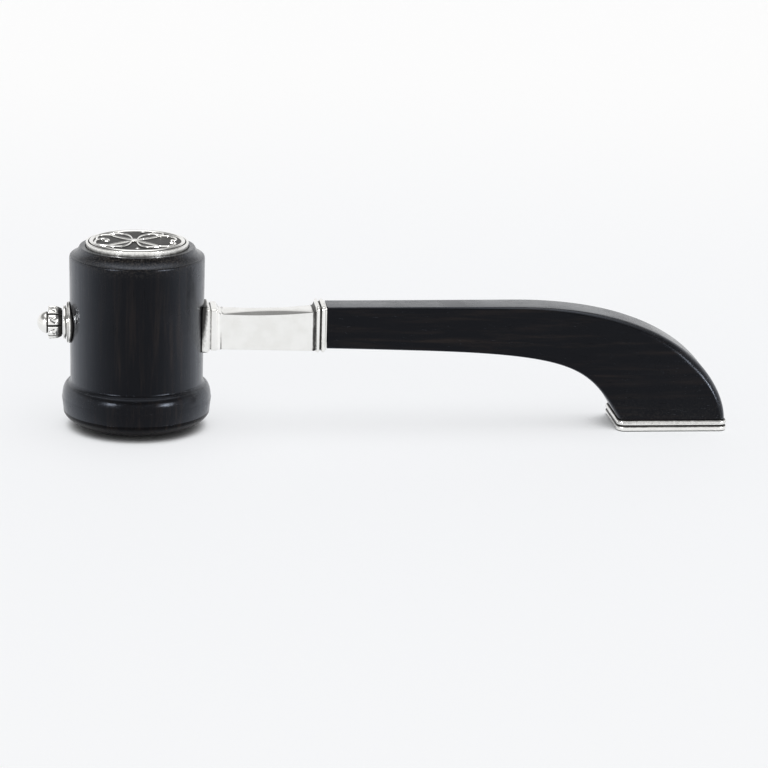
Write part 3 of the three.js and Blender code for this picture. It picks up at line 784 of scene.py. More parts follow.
def head_profile(s):
    """Radius and height from the middle of the striking face round to the middle of the seat."""
    dome = arc((s.flat_radius, s.dome_height), (s.edge_radius - s.flat_radius, s.dome_height), -90, -6, 36)
    slimming = np.sin(np.linspace(0, math.pi, len(dome))) * s.dome_slim
    dome = [(radius - slim, height) for (radius, height), slim in zip(dome, slimming)]
    rounding = s.edge_rounding
    arris_low = arc((s.edge_radius - rounding, s.dome_height), (rounding, rounding), -30, 30, 5)
    ovolo_size = (s.flange_radius - s.flange_top_radius - rounding / 2, s.flange_top_height - s.flange_height)
    ovolo = arc((s.flange_top_radius, s.flange_height), ovolo_size, 3, 90, 20)
    ovolo = [(s.flange_radius, s.flange_height - rounding), *ovolo]
    cove = [
        (
            s.drum_radius + (s.flange_top_radius - s.drum_radius) * (1 - part) ** 2,
            mix(s.flange_top_height, s.cove_height, part),
        )
        for part in np.linspace(0.08, 1, 12)
    ]
    heights = np.linspace(s.cove_height, s.arris_height, 12)[1:-1]
    drum = [(drum_radius(s, height), height) for height in heights]
    arris_size = (s.drum_top_radius - s.chamfer_radius, s.chamfer_height - s.arris_height)
    arris = arc((s.chamfer_radius, s.arris_height), arris_size, 0, 90, 10)
    chamfer = []
    for part in np.linspace(0, 1, 14)[1:-1]:
        hollow = s.chamfer_hollow * 4 * part * (1 - part)
        chamfer.append(
            (
                mix(s.chamfer_radius, s.lip_radius, part) - hollow,
                mix(s.chamfer_height, head_top(), part) - hollow,
            )
        )
    edge = (s.lip_radius - s.lip_rounding, head_top() - s.lip_rounding)
    lip = arc(edge, (s.lip_rounding, s.lip_rounding), 20, 90, 5)
    seat = [(s.seat_radius, head_top()), (s.seat_radius, s.seat_height), (0, s.seat_height)]
    return [(0, 0), *dome, *arris_low, *ovolo, *cove, *drum, *arris, *chamfer, *lip, *seat]


def build_head(scene):
    """The head, turned from its profile."""
    s = scene.mallet_head
    dusty = (s.arris_height - 4 * MM, head_top())
    # Painted shade: reflections held down on the dome under the flange, where the floor below lies in shadow
    glossy = (s.dome_height, s.dome_height + s.edge_rounding)
    material = ebony_material("Head ebony", 2, scene.mallet_finish, dusty, 1.0, glossy)
    piece = joined("Head", [turned("Head", head_profile(s), s.sides, material)])
    settle(piece, material, "ebony", "head")


def medallion_profile(s, field, foot):
    """Radius and height of the medallion without its relief."""
    rounding = s.rim_rounding
    outer = arc((s.radius - rounding, field - rounding), (rounding, rounding), 0, 90, 8)
    rim_inner = s.radius - s.rim_width
    inner = arc((rim_inner + rounding, field - rounding), (rounding, rounding), 90, 180, 6)
    groove = [(rim_inner - 0.05 * MM, field - s.ring_groove), (s.ring_outer, field - s.ring_groove)]
    middle = (s.ring_outer + s.ring_inner) / 2
    half = (s.ring_outer - s.ring_inner) / 2
    ring = arc((middle, field - 0.1 * MM), (half, s.ring_rise + 0.1 * MM), 0, 180, 18)
    return [(0, foot), (s.radius, foot), *outer, *inner, *groove, *ring, (s.ring_inner, field), (0, field)]


def leaf_mesh(s, root, field):
    """One leaf in its quarter: a hollow blade between two wire edges."""

    def at(x, y):
        return (s.leaf_x * x, s.leaf_y * y)

    steps = 56
    shares = 0.5 - 0.5 * np.cos(np.linspace(0, math.pi, steps + 1))
    bow = evenly(bezier([at(0.07, 0.07), at(0.06, 0.8), at(0.36, 1.5), at(1, 1)], 200), shares)
    straight = evenly(bezier([at(0.07, 0.07), at(0.46, 0.32), at(0.76, 0.52), at(1, 1)], 200), shares)
    edge = np.array([0, 0.02, 0.1, 0.24, 0.42, 0.6, 0.78, 0.92, 1.0])
    crest = np.sqrt(np.clip(1 - (2 * edge - 1) ** 2, 0, 1))
    inside = np.linspace(0, 1, 9)[1:-1]
    rings = []
    for first, last in zip(bow, straight):
        width = max(np.linalg.norm(last - first), 1e-6)
        wire = min(s.leaf_wire, width / 2)
        near = edge * wire / width
        parts = np.concatenate([near, near[-1] + (1 - 2 * near[-1]) * inside, 1 - near[::-1]])
        floor = s.leaf_field
        wire_heights = np.where(edge < 0.5, crest * s.leaf_rise, floor + crest * (s.leaf_rise - floor))
        middle = np.full(len(inside), floor) + 0.25 * MM * np.sin(math.pi * inside) * (1 - wire * 2 / width)
        heights = field + np.concatenate([wire_heights, middle, wire_heights[::-1]])
        blade = np.column_stack([first + (last - first) * parts[:, None], heights])
        rings.append(np.vstack([blade, [*last, root], [*first, root]]))
    points, faces = lofted(rings)
    return plain_mesh("Leaf", points, faces)


def smooth_path(points, steps):
    """A smooth line through points, as many steps to each stretch."""
    points = np.asarray(points, float)
    padded = np.vstack([2 * points[0] - points[1], points, 2 * points[-1] - points[-2]])
    out = []
    for a, b, c, d in zip(padded, padded[1:], padded[2:], padded[3:]):
        for t in np.arange(steps) / steps:
            bend = (2 * a - 5 * b + 4 * c - d) * t**2 + (3 * b - a - 3 * c + d) * t**3
            out.append(0.5 * (2 * b + (c - a) * t + bend))
    out.append(points[-1])
    return np.array(out)


# Plan of the scrolls and buds, in shares of the raised ring's inner radius
SCROLLS = (
    ((-0.57, 0.56), (-0.81, 0.51), (-0.88, 0.3), (-0.86, 0.11)),
    (
        (-0.57, -0.56),
        (-0.83, -0.45),
        (-0.89, -0.22),
        (-0.86, 0.04),
        (-0.73, 0.15),
        (-0.61, 0.07),
        (-0.6, -0.07),
        (-0.69, -0.1),
    ),
    ((0.57, 0.56), (0.8, 0.51), (0.93, 0.28), (0.92, 0.1), (0.81, 0.07)),
    ((0.57, -0.56), (0.8, -0.51), (0.93, -0.29), (0.9, -0.15), (0.8, -0.16)),
    ((0.57, 0.54), (0.62, 0.69), (0.58, 0.81)),
)
BUDS = ((0.15, 0.87), (0.1, -0.87))


def scroll_mesh(s, field, shares, material):
    """One scroll as a wire that ends in a small bulb."""
    plan = smooth_path(np.array(shares) * s.ring_inner, 12)
    height = field + s.scroll_rise - s.scroll_wire
    path = evenly(np.column_stack([plan, np.full(len(plan), height)]), np.linspace(0, 1, 70))
    along = np.linspace(0, 1, len(path))
    run = np.linalg.norm(np.diff(path, axis=0), axis=1).sum()
    left = (1 - along) * run / s.scroll_wire
    thickness = 1 + 0.28 * np.exp(-(((left - 1.3) / 1.1) ** 2))
    thickness *= np.sqrt(np.clip(1 - (1 - np.minimum(left / 1.1, 1)) ** 2, 0.02, 1))
    line = line_mesh("Scroll", path)
    line.attributes.new("thickness", "FLOAT", "POINT").data.foreach_set("value", thickness.astype(np.float32))
    return grown(wire_tree(), line, {"Radius": s.scroll_wire, "Sides": 14, "Material": material})


def build_medallion(scene):
    """The medallion: turned rim, ring and field, with leaves, knot, scrolls and buds in relief."""
    s = scene.mallet_medallion
    material = silver_material("Medallion silver", scene.mallet_finish)
    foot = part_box("medallion")[0].z
    field = head_top() + s.rise
    root = field - 0.3 * MM
    relief = [grown(mirrored_tree(), leaf_mesh(s, root, field), {"Material": material})]
    knot = [(0, root), (s.knot_radius, root), (s.knot_radius, field + 0.3 * MM)]
    knot += arc((s.knot_radius - 0.4 * MM, field + 0.3 * MM), (0.4 * MM, 0.4 * MM), 0, 90, 8)
    relief.append(turned("Knot", [*knot, (0, field + 0.72 * MM)], 48, material))
    for shares in SCROLLS:
        relief.append(scroll_mesh(s, field, shares, material))
    for x, y in BUDS:
        centre = s.bud_rise - s.bud_radius
        ball = arc((0, field + centre), (s.bud_radius, s.bud_radius), -90, 90, 24)
        bud = turned("Bud", ball, 40, material)
        relief.append(placed(bud, shift=(x * s.ring_inner, y * s.ring_inner, 0)))
    turn = Matrix.Rotation(s.relief_turn, 3, "Z")
    relief = [placed(mesh, turn, (s.relief_x, s.relief_y, 0)) for mesh in relief]
    disc = turned("Medallion", medallion_profile(s, field, foot), s.sides, material)
    piece = joined("Medallion", [disc, *relief], 42)

    # Tarnish fills the field and the grooves; painted shade darkens the leaf blades that face away from the
    # light
    points = points_of(piece)
    radius = np.hypot(points[:, 0], points[:, 1])
    above = points[:, 2] - field
    inner = (radius < s.ring_inner + 0.05 * MM) & (above < 0.06 * MM)
    within_rim = (radius < s.radius - s.rim_width + 0.1 * MM) & (above < 0.2 * MM)
    outer = (radius > s.ring_outer - 0.1 * MM) & within_rim
    foot_line = (radius > s.radius - 0.1 * MM) & (above < 0.2 * MM - s.rise)
    side = (radius > s.radius - 0.1 * MM) & (above >= 0.2 * MM - s.rise)
    plan = (points[:, :2] - (s.relief_x, s.relief_y)) @ np.array(turn)[:2, :2]
    lean = np.degrees(np.arctan2(np.abs(plan[:, 1]) / s.leaf_y, np.abs(plan[:, 0]) / s.leaf_x))
    blade = (radius < s.ring_inner) & (above >= 0.06 * MM) & (above < s.leaf_field + 0.27 * MM)
    shade = np.where(blade, np.interp(lean, (44, 54), (0.25, 0.85)), np.where(side, 0.3, 0.0))
    shade = np.where(inner, 0.7, shade)
    store_tarnish_and_shade(piece, np.where(outer | foot_line, 0.85, shade))
    settle(piece, material, "silver", "medallion")


def outwards(mesh, height):
    """A form turned about the Z axis, laid along -X at a height."""
    return placed(mesh, Matrix(((0, 0, -1), (0, 1, 0), (1, 0, 0))), (0, 0, height))


def rosette_mesh(s, head, material):
    """The moulded base ring and thin disc, hollowed to sit on the drum."""
    root = drum_radius(head, s.height) + s.gap
    step = root + s.base_length
    step_end = step + s.step_length
    disc = step_end + s.disc_gap
    end = disc + s.disc_length
    core = s.step_radius - s.groove
    disc_core = s.disc_radius - s.groove
    edge = s.disc_edge
    back = root - 3 * MM
    base = arc((s.base_radius - s.groove, step - s.groove), (s.groove, s.groove), 0, 90, 6)
    bead = arc((core, (step + step_end) / 2), (s.groove, s.step_length / 2), -90, 90, 14)
    front = arc((s.disc_radius - edge, end - edge), (edge, edge), 0, 90, 6)
    profile = [
        *[(radius, back) for radius in np.linspace(0, s.base_radius, 14)],
        *base,
        (core - s.step_cut, step + 0.02 * MM),
        *bead,
        (disc_core - s.disc_cut, step_end),
        (disc_core - s.disc_cut, disc),
        *arc((s.disc_radius - edge, disc + edge), (edge, edge), -90, 0, 6),
        *front,
        *[(radius, end) for radius in np.linspace(s.disc_radius - edge, 0, 6)[1:]],
    ]
    mesh = outwards(turned("Rosette", profile, s.sides, material), s.height)
    for vertex in mesh.vertices:
        if abs(vertex.co.x + back) < 1e-6:
            reach = drum_radius(head, vertex.co.z) + s.gap
            vertex.co.x = -math.sqrt(reach**2 - vertex.co.y**2)
    return mesh, end


def stroke(spot, a, b):
    """Depth of a short chisel stroke at a spot, from 1 on its line to 0 beside it."""
    along = np.clip((spot - a) @ (b - a) / ((b - a) @ (b - a)), 0, 1)
    away = np.linalg.norm(spot - (a + (b - a) * along))
    return max(0.0, 1 - away / mix(0.22, 0.5, along))


def crown_sector(s, start):
    """One lobe of the crown with its share of waist, neck and tip, from groove to groove."""
    back = start + s.waist_length
    shoulder = back + s.crown_back_length
    front = shoulder + s.crown_length
    centre = front - s.tip_sink
    neck = front + s.neck_length
    wide = s.crown_radius
    first = math.degrees(math.asin((neck - centre) / s.tip_radius))
    ball = arc((0, centre), (s.tip_radius, s.tip_radius), first, 90, 22)
    tip = [(reach, radius, 0) for radius, reach in ball]
    swell = []
    for part in np.linspace(0, 1, 12):
        swelling = part * (1.35 - 0.35 * part)
        swell.append((mix(back, shoulder, part), mix(s.crown_back, wide * 0.99, swelling), mix(0.5, 1, part)))
    level = [
        (mix(shoulder, front - s.crown_edge, part), wide * (0.99 + 0.01 * math.sin(math.pi * part)), 1)
        for part in np.linspace(0, 1, 26)[1:]
    ]
    rounding = [
        (front - s.crown_edge + s.crown_edge * math.sin(t), mix(s.crown_front, wide * 0.99, math.cos(t)), 1)
        for t in np.linspace(0, math.pi / 2, 7)[1:]
    ]
    fillet = [(neck, s.neck_radius, 0), *tip[1:]] if tip[0][1] > s.neck_radius else tip
    stations = [
        (start, 0, 0),
        (start, s.waist_radius, 0),
        (back, s.waist_radius, 0),
        *swell,
        *level,
        *rounding,
        (front, s.neck_radius, 0.3),
        (front + 0.05 * MM, s.neck_radius, 0),
        *fillet,
    ]
    shares = [np.linspace(0, 0.12, 7), np.linspace(0.12, 0.88, 27), np.linspace(0.88, 1, 7)]
    shares = np.unique(np.concatenate(shares))
    inward = np.minimum(shares, 1 - shares)
    notch = np.clip(1 - inward / 0.12, 0, 1) ** 1.3
    grooving = notch + (1 - notch) * 0.22 * (1 - 2 * inward) ** 2
    sector = math.tau / s.lobes
    middle = mix(shoulder, front, 0.45)
    arms = (((-0.9, 0.0), (1.0, -1.15)), ((-0.9, 0.0), (0.75, 0.95)))
    lines = np.interp(inward, (0.05, 0.1), (1, 0))
    points, marks = [], []
    for reach, radius, cut in stations:
        here = radius - s.lobe_groove * grooving * cut
        # Painted shade on the crown's back, fading from the waist to the shoulder
        shade = np.interp(reach, (back, shoulder), (0.95, 0.25)) if reach < shoulder else 0
        for number, part in enumerate(shares):
            spot = np.array([(middle - reach) / MM, (part - 0.5) * sector * radius / MM])
            dip = max(stroke(spot, np.array(a), np.array(b)) for a, b in arms) if cut == 1 else 0
            r = max(here[number] - s.nick * dip, 0)
            points.append((r * math.cos(part * sector), r * math.sin(part * sector), reach))
            marks.append(max(shade, 0.75 * dip, lines[number] if cut else 0))
    wide_count = len(shares)
    faces = [
        (k * wide_count + i, k * wide_count + i + 1, (k + 1) * wide_count + i + 1, (k + 1) * wide_count + i)
        for k in range(len(stations) - 1)
        for i in range(wide_count - 1)
    ]
    mesh = plain_mesh("Lobe", points, faces)
    mesh.attributes.new("mark_and_shade", "FLOAT", "POINT").data.foreach_set("value", np.array(marks, np.float32))
    return mesh


def build_finial(scene):
    """The finial: the base on the drum, and the crown of lobes with its smooth tip."""
    s = scene.mallet_finial
    material = silver_material("Finial silver", scene.mallet_finish)
    mesh, end = rosette_mesh(s, scene.mallet_head, material)
    rosette = joined("Finial_rosette", [mesh])
    lobes = grown(repeated_tree(), crown_sector(s, end + s.gap), {"Copies": s.lobes, "Material": material})
    knob = joined("Finial_knob", [outwards(lobes, s.height)], 38)
    # The knob's marks hold tarnish in the chisel strokes and beside the lobe grooves, and painted shade on the
    # crown's back
    layer = knob.data.attributes["mark_and_shade"]
    marks = np.zeros(len(layer.data), np.float32)
    layer.data.foreach_get("value", marks)
    knob.data.attributes.remove(layer)
    store_tarnish_and_shade(rosette, hollows(rosette, 4 * MM, 1.5, ("Finial_knob", "Head")))
    store_tarnish_and_shade(knob, np.maximum(marks, hollows(knob, 3 * MM, 1.4, ("Finial_rosette", "Head"))))
    settle(rosette, material, "silver", "finial_rosette")
    settle(knob, material, "silver", "finial_knob")


def grip_span(scene):
    """Bottom and top of the handle where it leaves the ferrule, and the x where it starts."""
    handle = scene.mallet_handle
    ferrule = scene.mallet_ferrule
    top = ferrule.axis + handle.lift + handle.height / 2
    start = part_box("ferrule")[1].x + handle.gap
    return top - handle.height, top, start


def tenon_ring(scene, x, allowance):
    """Section of the tenon, or of its pocket with an allowance."""
    handle = scene.mallet_handle
    bottom, top, _ = grip_span(scene)
    shrink = handle.shoulder - allowance
    return across(x, bottom + shrink, top - shrink, handle.depth - 2 * shrink, handle.corner_grip)


def build_ferrule(scene):
    """The ferrule: saddle on the drum, block, hollow neck, shank with stopped facets, two-bead collar."""
    s = scene.mallet_ferrule
    head = scene.mallet_head
    handle = scene.mallet_handle
    bottom, top, start = grip_span(scene)
    face = head.drum_radius + s.saddle_thickness
    block_end = face + s.block_length
    shank_start = block_end + s.neck_length
    collar_start = shank_start + s.shank_length
    collar_end = collar_start + s.collar_length

    def centred(x, height, depth, corner):
        return across(x, s.axis - height / 2, s.axis + height / 2, depth, corner)

    seat = centred(0, s.saddle_height, s.saddle_depth, s.saddle_corner)
    reach = [drum_radius(head, z) + handle.gap for z in seat[:, 2]]
    seat[:, 0] = np.sqrt(np.square(reach) - seat[:, 1] ** 2)
    rings = [seat]
    for t in np.linspace(0, math.pi / 2, 7):
        inset = s.saddle_edge * (1 - math.cos(t))
        x = face - s.saddle_edge * (1 - math.sin(t))
        corner = s.saddle_corner - inset
        rings.append(centred(x, s.saddle_height - 2 * inset, s.saddle_depth - 2 * inset, corner))
    # The line cut round the block: millimetres from the saddle, and share of its depth
    for away, cut in ((0, 0), (0.35, 0), (0.5, 1), (0.85, 1), (1.0, 0)):
        inset = 2 * s.block_groove * cut
        rings.append(centred(face + away * MM, s.block_height - inset, s.block_depth - inset, s.block_corner))
    for t in np.linspace(0, math.pi / 2, 6):
        inset = 2 * s.block_edge * (1 - math.cos(t))
        x = block_end - 2 * s.block_edge * (1 - math.sin(t))
        rings.append(centred(x, s.block_height - inset, s.block_depth - inset, s.block_corner - inset / 4))
    neck_height = s.block_height - 2 * s.block_edge
    neck_depth = s.block_depth - 2 * s.block_edge
    middle = s.axis - s.shank_drop
    for part in np.linspace(0.05, 0.95, 12):
        swept = (1 - part) ** 2
        half = mix(s.shank_start, neck_height, swept) / 2
        centre = mix(middle, s.axis, swept)
        depth = mix(s.shank_depth, neck_depth, swept)
        corner = mix(s.shank_corner, s.neck_corner, swept)
        x = block_end + s.neck_length * part
        rings.append(planed(x, centre - half, centre + half, depth, (corner, corner), corner))
    for part in np.linspace(0, 1, 41):
        half = mix(s.shank_start, s.shank_end, part) / 2
        swell = max(math.sin(math.pi * part), 0) ** 0.8
        wide = s.shank_corner + s.facet_across * swell
        deep = (s.shank_corner / s.facet_across + swell) * s.facet_down
        x = shank_start + s.shank_length * part
        rings.append(planed(x, middle - half, middle + half, s.shank_depth, (wide, deep), s.shank_corner))
    rim = 0.8 * s.bead_groove
    low, high = bottom - s.collar_proud, top + s.collar_proud_top
    wide = handle.depth + 2 * s.collar_proud
    shank_low, shank_high = middle - s.shank_end / 2, middle + s.shank_end / 2

    def collar_ring(x, inset):
        return across(x, low + inset, high - inset, wide - 2 * inset, s.bead_corner - inset / 2)

    cove_end = collar_ring(collar_start + s.collar_cove, rim)
    cove_foot = planed(
        collar_start, shank_low, shank_high, s.shank_depth, (s.shank_corner, s.shank_corner), s.shank_corner
    )
    for part in np.linspace(0.1, 0.9, 9):
        ring = mix(cove_foot, cove_end, part**2.4)
        ring[:, 0] = collar_start + s.collar_cove * part
        rings.append(ring)
    place = collar_start + s.collar_cove
    for size in (s.first_bead, s.second_bead):
        for t in np.linspace(0, math.pi, 15):
            rings.append(collar_ring(place + size * (1 - math.cos(t)) / 2, rim * (1 - math.sin(t))))
        place += size
        if size == s.first_bead:
            for x in (place + s.bead_gap / 5, place + s.bead_gap * 4 / 5):
                rings.append(collar_ring(x, s.bead_groove))
            place += s.bead_gap
    rings.append(collar_ring(collar_end, rim))
    rings.append(tenon_ring(scene, collar_end, handle.gap))
    rings.append(tenon_ring(scene, start - handle.tenon - handle.gap, handle.gap))
    points, faces = lofted(rings)
    material = silver_material("Ferrule silver", scene.mallet_finish)
    piece = joined("Ferrule", [plain_mesh("Ferrule", points, faces)], 32)
    points = points_of(piece)
    reach, height = points[:, 0], points[:, 2]

    # Darkest round the saddle's upper half where it meets the drum and in the cove; the band low in the neck
    # is a painted dark reflection
    upper = height > s.axis
    at_drum = np.where(reach < face - 1.1 * s.saddle_edge, np.where(upper, 0.85, 0.4), 0)
    at_edge = np.where(reach < face - 0.9 * s.saddle_edge, np.where(upper, 0.42, 0.1), 0)
    neck_painted_reflection = 0.75 * np.exp(-(((reach - shank_start) / MM + 0.5) ** 2) / 0.08) * ~upper
    in_cove = 0.6 * ((reach > collar_start) & (reach < collar_start + 0.9 * s.collar_cove))
    hidden = hollows(piece, 1.6 * MM, 1.45)
    store_tarnish_and_shade(piece, np.max([at_drum, at_edge, neck_painted_reflection, in_cove, hidden], axis=0))
    settle(piece, material, "silver", "ferrule")


def run_then_sweep(start, bend, sweep, end, end_sweep, lean):
    """Points of a straight run and of the curve that leaves it smoothly and meets its end."""
    start, bend, end = (np.array(p, float) for p in (start, bend, end))
    along = (bend - start) / np.linalg.norm(bend - start)
    arrival = np.array([-math.sin(lean), math.cos(lean)])
    return np.vstack([start, bezier([bend, bend + along * sweep, end + arrival * end_sweep, end], 600)])


def handle_rings(scene):
    """Sections along the handle from the ferrule to the shoe, and the last one drawn in."""
    s = scene.mallet_handle
    shoe = scene.mallet_shoe
    bottom, top, start = grip_span(scene)
    foot = shoe.height + s.gap
    top_line = run_then_sweep(
        (start, top),
        (start + s.top_run, top + s.top_rise),
        s.top_sweep,
        (start + s.toe_reach, foot),
        s.toe_sweep,
        0,
    )
    under_line = run_then_sweep(
        (start, bottom),
        (start + s.under_run, bottom - s.under_fall),
        s.under_sweep,
        (start + s.heel_reach, foot),
        s.heel_sweep,
        s.heel_lean,
    )
    shares = np.linspace(0, 1, s.stations + 1)
    softest = 0.85

    def ring(upper, under, part, shrink=0.0):
        upward = (upper - under) / np.linalg.norm(upper - under)
        height = np.linalg.norm(upper - under) - 2 * shrink
        depth = mix(s.depth, s.foot_depth, part**2.1) - 2 * shrink
        if part < softest:
            corner = mix(s.corner_grip, s.corner_bend, (part / softest) ** 2)
        else:
            corner = mix(s.corner_bend, s.corner_foot, (part - softest) / (1 - softest))
        lower = mix(s.corner_under, s.corner_foot, part**6)
        outline = rounded(depth, height, corner, lower)
        middle = (upper + under) / 2
        return np.column_stack(
            [middle[0] + upward[0] * outline[:, 1], outline[:, 0], middle[1] + upward[1] * outline[:, 1]]
        )

    pairs = list(zip(evenly(top_line, shares), evenly(under_line, shares), shares))
    rings = [ring(*pair) for pair in pairs]
    return rings, ring(*pairs[-1], shoe.rebate)


def build_handle(scene):
    """The handle: grip, bend and foot in one, with its tenon and the rebate in the shoe."""
    s = scene.mallet_handle
    _, _, start = grip_span(scene)
    rings, drawn_in = handle_rings(scene)
    rebated = drawn_in.copy()
    rebated[:, 2] = scene.mallet_shoe.sole + s.gap
    tenon = [tenon_ring(scene, start - s.tenon, 0), tenon_ring(scene, start, 0)]
    points, faces = lofted([*tenon, *rings, drawn_in, rebated])
    shoe_top = scene.mallet_shoe.height
    # Dust settles near the foot; reflections are held down as painted shade below half the shoe's height
    dusty, glossy = (shoe_top + 12 * MM, shoe_top), (shoe_top / 2, shoe_top)
    material = ebony_material("Handle ebony", 0, scene.mallet_finish, dusty, 0.25, glossy)
    piece = joined("Handle", [plain_mesh("Handle", points, faces)])
    settle(piece, material, "ebony", "handle")


# Shares of the shoe's height, and how dark the silver is there: painted dark reflections and shade on the
# beads and along the foot, darkest in the groove and along the wood
SHOE_SHADES = (
    (0, 0.9),
    (0.05, 0.8),
    (0.12, 0),
    (0.3, 0),
    (0.38, 0.45),
    (0.54, 0.8),
    (0.6, 0.5),
    (0.63, 0.1),
    (0.72, 0.35),
    (0.8, 0.4),
    (0.88, 0.25),
    (0.97, 0.5),
    (1, 0.9),
)


def build_shoe(scene):
    """The shoe: a shallow tray with two beads round it."""
    s = scene.mallet_shoe
    handle = scene.mallet_handle
    _, _, start = grip_span(scene)
    heel, toe = start + handle.heel_reach, start + handle.toe_reach

    def ring(height, growth):
        outline = rounded(
            toe - heel + 2 * growth,
            handle.foot_depth + 2 * growth,
            handle.corner_foot + growth,
            handle.corner_foot + growth,
        )
        lengthwise = (heel + toe) / 2 + outline[:, 0]
        return np.column_stack([lengthwise, outline[:, 1], np.full(len(outline), height)])

    split = s.height * s.lower
    rings = []
    for bottom, top in ((0, split), (split, s.height)):
        for t in np.linspace(0, math.pi, 25):
            height = mix(bottom, top, (1 - math.cos(t)) / 2)
            rings.append(ring(height, s.proud - s.groove * (1 - math.sin(t))))
    inner = handle.gap - s.rebate
    rings += [ring(s.height, inner), ring(s.sole, inner)]
    points, faces = lofted(rings)
    material = silver_material("Shoe silver", scene.mallet_finish)
    piece = joined("Foot_shoe", [plain_mesh("Foot_shoe", points, faces)])
    # Painted dark reflections and shade in bands up the shoe, over tarnish from its hollows
    shares, shades = np.array(SHOE_SHADES).T
    banded = np.interp(points_of(piece)[:, 2], shares * s.height, shades)
    store_tarnish_and_shade(piece, np.maximum(banded, hollows(piece, 1.6 * MM, 1.2)))
    settle(piece, material, "silver", "foot_shoe")


# Stage


def soft_light(name, towards, strength, spread):
    """A soft light from a direction, which only shows in reflections."""
    light = bpy.data.lights.new(name, "SUN")
    light.energy = strength
    light.angle = spread
    made = linked(name, light)
    made.rotation_euler = Vector(towards).to_track_quat("Z", "Y").to_euler()
    made.visible_diffuse = False
    return made


def build_stage(scene):
    """A plain pale floor, a soft sky, two soft lights and the camera."""
    s = scene.mallet_studio
    corners = [(-6, -6, 0), (6, -6, 0), (6, 6, 0), (-6, 6, 0)]
    floor = linked("Floor", plain_mesh("Floor", corners, [(0, 1, 2, 3)]))
    material, tree, shader, coords = new_material("Floor")
    # Painted shade: the floor is a little darker and bluer round the mallet than farther off, and its own glow
    # fades to black close round things that stand on it
    middle = (0.09, 0, 0)
    away = add(tree, "ShaderNodeVectorMath", {0: coords, 1: middle}, operation="DISTANCE").outputs["Value"]
    pale = blend(tree, ramp(tree, away, 0.1, 0.9), s.floor, s.floor_far)
    tree.links.new(blend(tree, s.floor_glow, pale, (0, 0, 0)), shader.inputs["Base Color"])
    clear = add(tree, "ShaderNodeAmbientOcclusion", {"Distance": s.shadow_reach}, samples=8).outputs["AO"]
    shaded = blend(tree, ramp(tree, clear, 0.16, 0.56), (0, 0, 0), pale)
    tree.links.new(shaded, shader.inputs["Emission Color"])
    shader.inputs["Emission Strength"].default_value = s.floor_glow
    shader.inputs["Roughness"].default_value = 0.75
    shader.inputs["IOR"].default_value = 1.2
    floor.data.materials.append(material)
    world = bpy.data.worlds.new("Studio")
    scene.world = world
    world.use_nodes = True
    tree = world.node_tree
    tree.nodes.clear()
    way = add(tree, "ShaderNodeTexCoord").outputs["Generated"]
    upward = add(tree, "ShaderNodeSeparateXYZ", {"Vector": way}).outputs["Z"]
    sky = add(tree, "ShaderNodeValToRGB", {"Fac": upward})
    stops = ((0.34, s.sky_low), (0.55, s.sky_dark), (0.78, s.sky_dark), (0.92, 1.0))
    elements = sky.color_ramp.elements
    while len(elements) < len(stops):
        elements.new(1.0)
    for element, (position, brightness) in zip(elements, stops):
        element.position = position
        element.color = (brightness, brightness, brightness, 1)
    background = add(tree, "ShaderNodeBackground", {"Color": sky.outputs["Color"], "Strength": s.sky_overhead})
    add(tree, "ShaderNodeOutputWorld", {"Surface": background.outputs[0]})
    left = soft_light("Soft light left", s.left_side, s.left_light, s.light_spread)
    right = soft_light("Soft light right", s.right_side, s.right_light, s.light_spread)
    turn, dip = s.camera_turn, s.camera_dip
    forward = Vector((math.cos(dip) * math.sin(turn), math.cos(dip) * math.cos(turn), -math.sin(dip)))
    data = bpy.data.cameras.new("Camera")
    data.lens = s.lens
    data.clip_end = 50
    camera = linked("Camera", data)
    sideways = forward.cross(Vector((0, 0, 1))).normalized()
    level = Matrix((sideways, sideways.cross(forward), -forward)).transposed()
    camera.matrix_world = (
        Matrix.Translation(s.camera_place) @ (level @ Matrix.Rotation(s.camera_roll, 3, "Z")).to_4x4()
    )
    scene.camera = camera
    scene.view_settings.view_transform = "Standard"


# Operators


class BuildStage(bpy.types.Operator):
    """Lay the floor and set the lights and the camera"""

    bl_idname = "mallet.stage"
    bl_label = "Stage"

    def execute(self, context):
        build_stage(context.scene)
        return {"FINISHED"}


class BuildHead(bpy.types.Operator):
    """Build the turned ebony head"""

    bl_idname = "mallet.head"
    bl_label = "Head"

    def execute(self, context):
        build_head(context.scene)
        return {"FINISHED"}


class BuildMedallion(bpy.types.Operator):
    """Build the silver medallion with its relief"""

    bl_idname = "mallet.medallion"
    bl_label = "Medallion"

    def execute(self, context):
        build_medallion(context.scene)
        return {"FINISHED"}


class BuildFinial(bpy.types.Operator):
    """Build the silver finial: base and lobed knob"""

    bl_idname = "mallet.finial"
    bl_label = "Finial"

    def execute(self, context):
        build_finial(context.scene)
        return {"FINISHED"}


class BuildFerrule(bpy.types.Operator):
    """Build the silver ferrule between head and handle"""

    bl_idname = "mallet.ferrule"
    bl_label = "Ferrule"

    def execute(self, context):
        build_ferrule(context.scene)
        return {"FINISHED"}


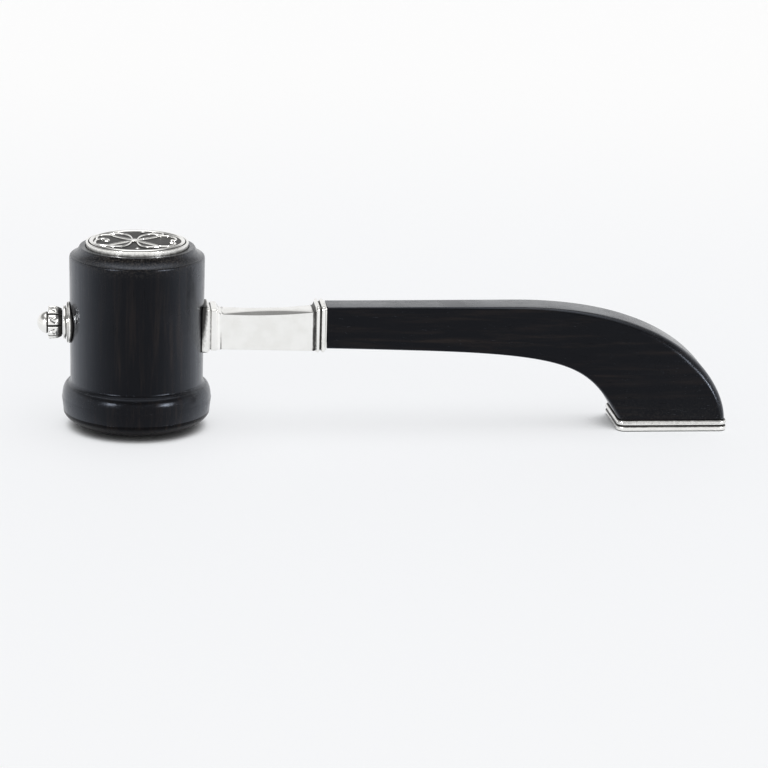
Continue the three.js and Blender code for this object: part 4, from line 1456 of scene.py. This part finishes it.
class BuildHandle(bpy.types.Operator):
    """Build the curved ebony handle"""

    bl_idname = "mallet.handle"
    bl_label = "Handle"

    def execute(self, context):
        build_handle(context.scene)
        return {"FINISHED"}


class BuildShoe(bpy.types.Operator):
    """Build the silver shoe under the foot"""

    bl_idname = "mallet.shoe"
    bl_label = "Shoe"

    def execute(self, context):
        build_shoe(context.scene)
        return {"FINISHED"}


GROUPS = {
    "mallet_head": HeadSizes,
    "mallet_medallion": MedallionSizes,
    "mallet_finial": FinialSizes,
    "mallet_ferrule": FerruleSizes,
    "mallet_handle": HandleSizes,
    "mallet_shoe": ShoeSizes,
    "mallet_finish": Finish,
    "mallet_studio": Studio,
}
OPERATORS = (BuildStage, BuildHead, BuildMedallion, BuildFinial, BuildFerrule, BuildHandle, BuildShoe)


class MalletPanel(bpy.types.Panel):
    """Buttons for each piece of the mallet and for the stage"""

    bl_idname = "VIEW3D_PT_mallet"
    bl_label = "Ceremonial mallet"
    bl_space_type = "VIEW_3D"
    bl_region_type = "UI"
    bl_category = "Mallet"

    def draw(self, context):
        for operator in OPERATORS:
            self.layout.operator(operator.bl_idname)
        for group, kind in GROUPS.items():
            box = self.layout.box()
            box.label(text=kind.__doc__.split(":")[0])
            for name in kind.__annotations__:
                box.prop(getattr(context.scene, group), name)


def register():
    """Registers the classes and hangs the property groups on the scene."""
    for kind in (*GROUPS.values(), *OPERATORS, MalletPanel):
        bpy.utils.register_class(kind)
    for name, kind in GROUPS.items():
        setattr(bpy.types.Scene, name, bpy.props.PointerProperty(type=kind))


def unregister():
    """Takes the property groups and the classes away again."""
    for name in GROUPS:
        delattr(bpy.types.Scene, name)
    for kind in (MalletPanel, *reversed(OPERATORS), *reversed(GROUPS.values())):
        bpy.utils.unregister_class(kind)


def main():
    """Registers the classes, then builds the stage and every piece."""
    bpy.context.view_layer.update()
    register()
    bpy.ops.mallet.stage()
    bpy.ops.mallet.head()
    bpy.ops.mallet.medallion()
    bpy.ops.mallet.finial()
    bpy.ops.mallet.ferrule()
    bpy.ops.mallet.handle()
    bpy.ops.mallet.shoe()


if __name__ == "__main__":
    main()
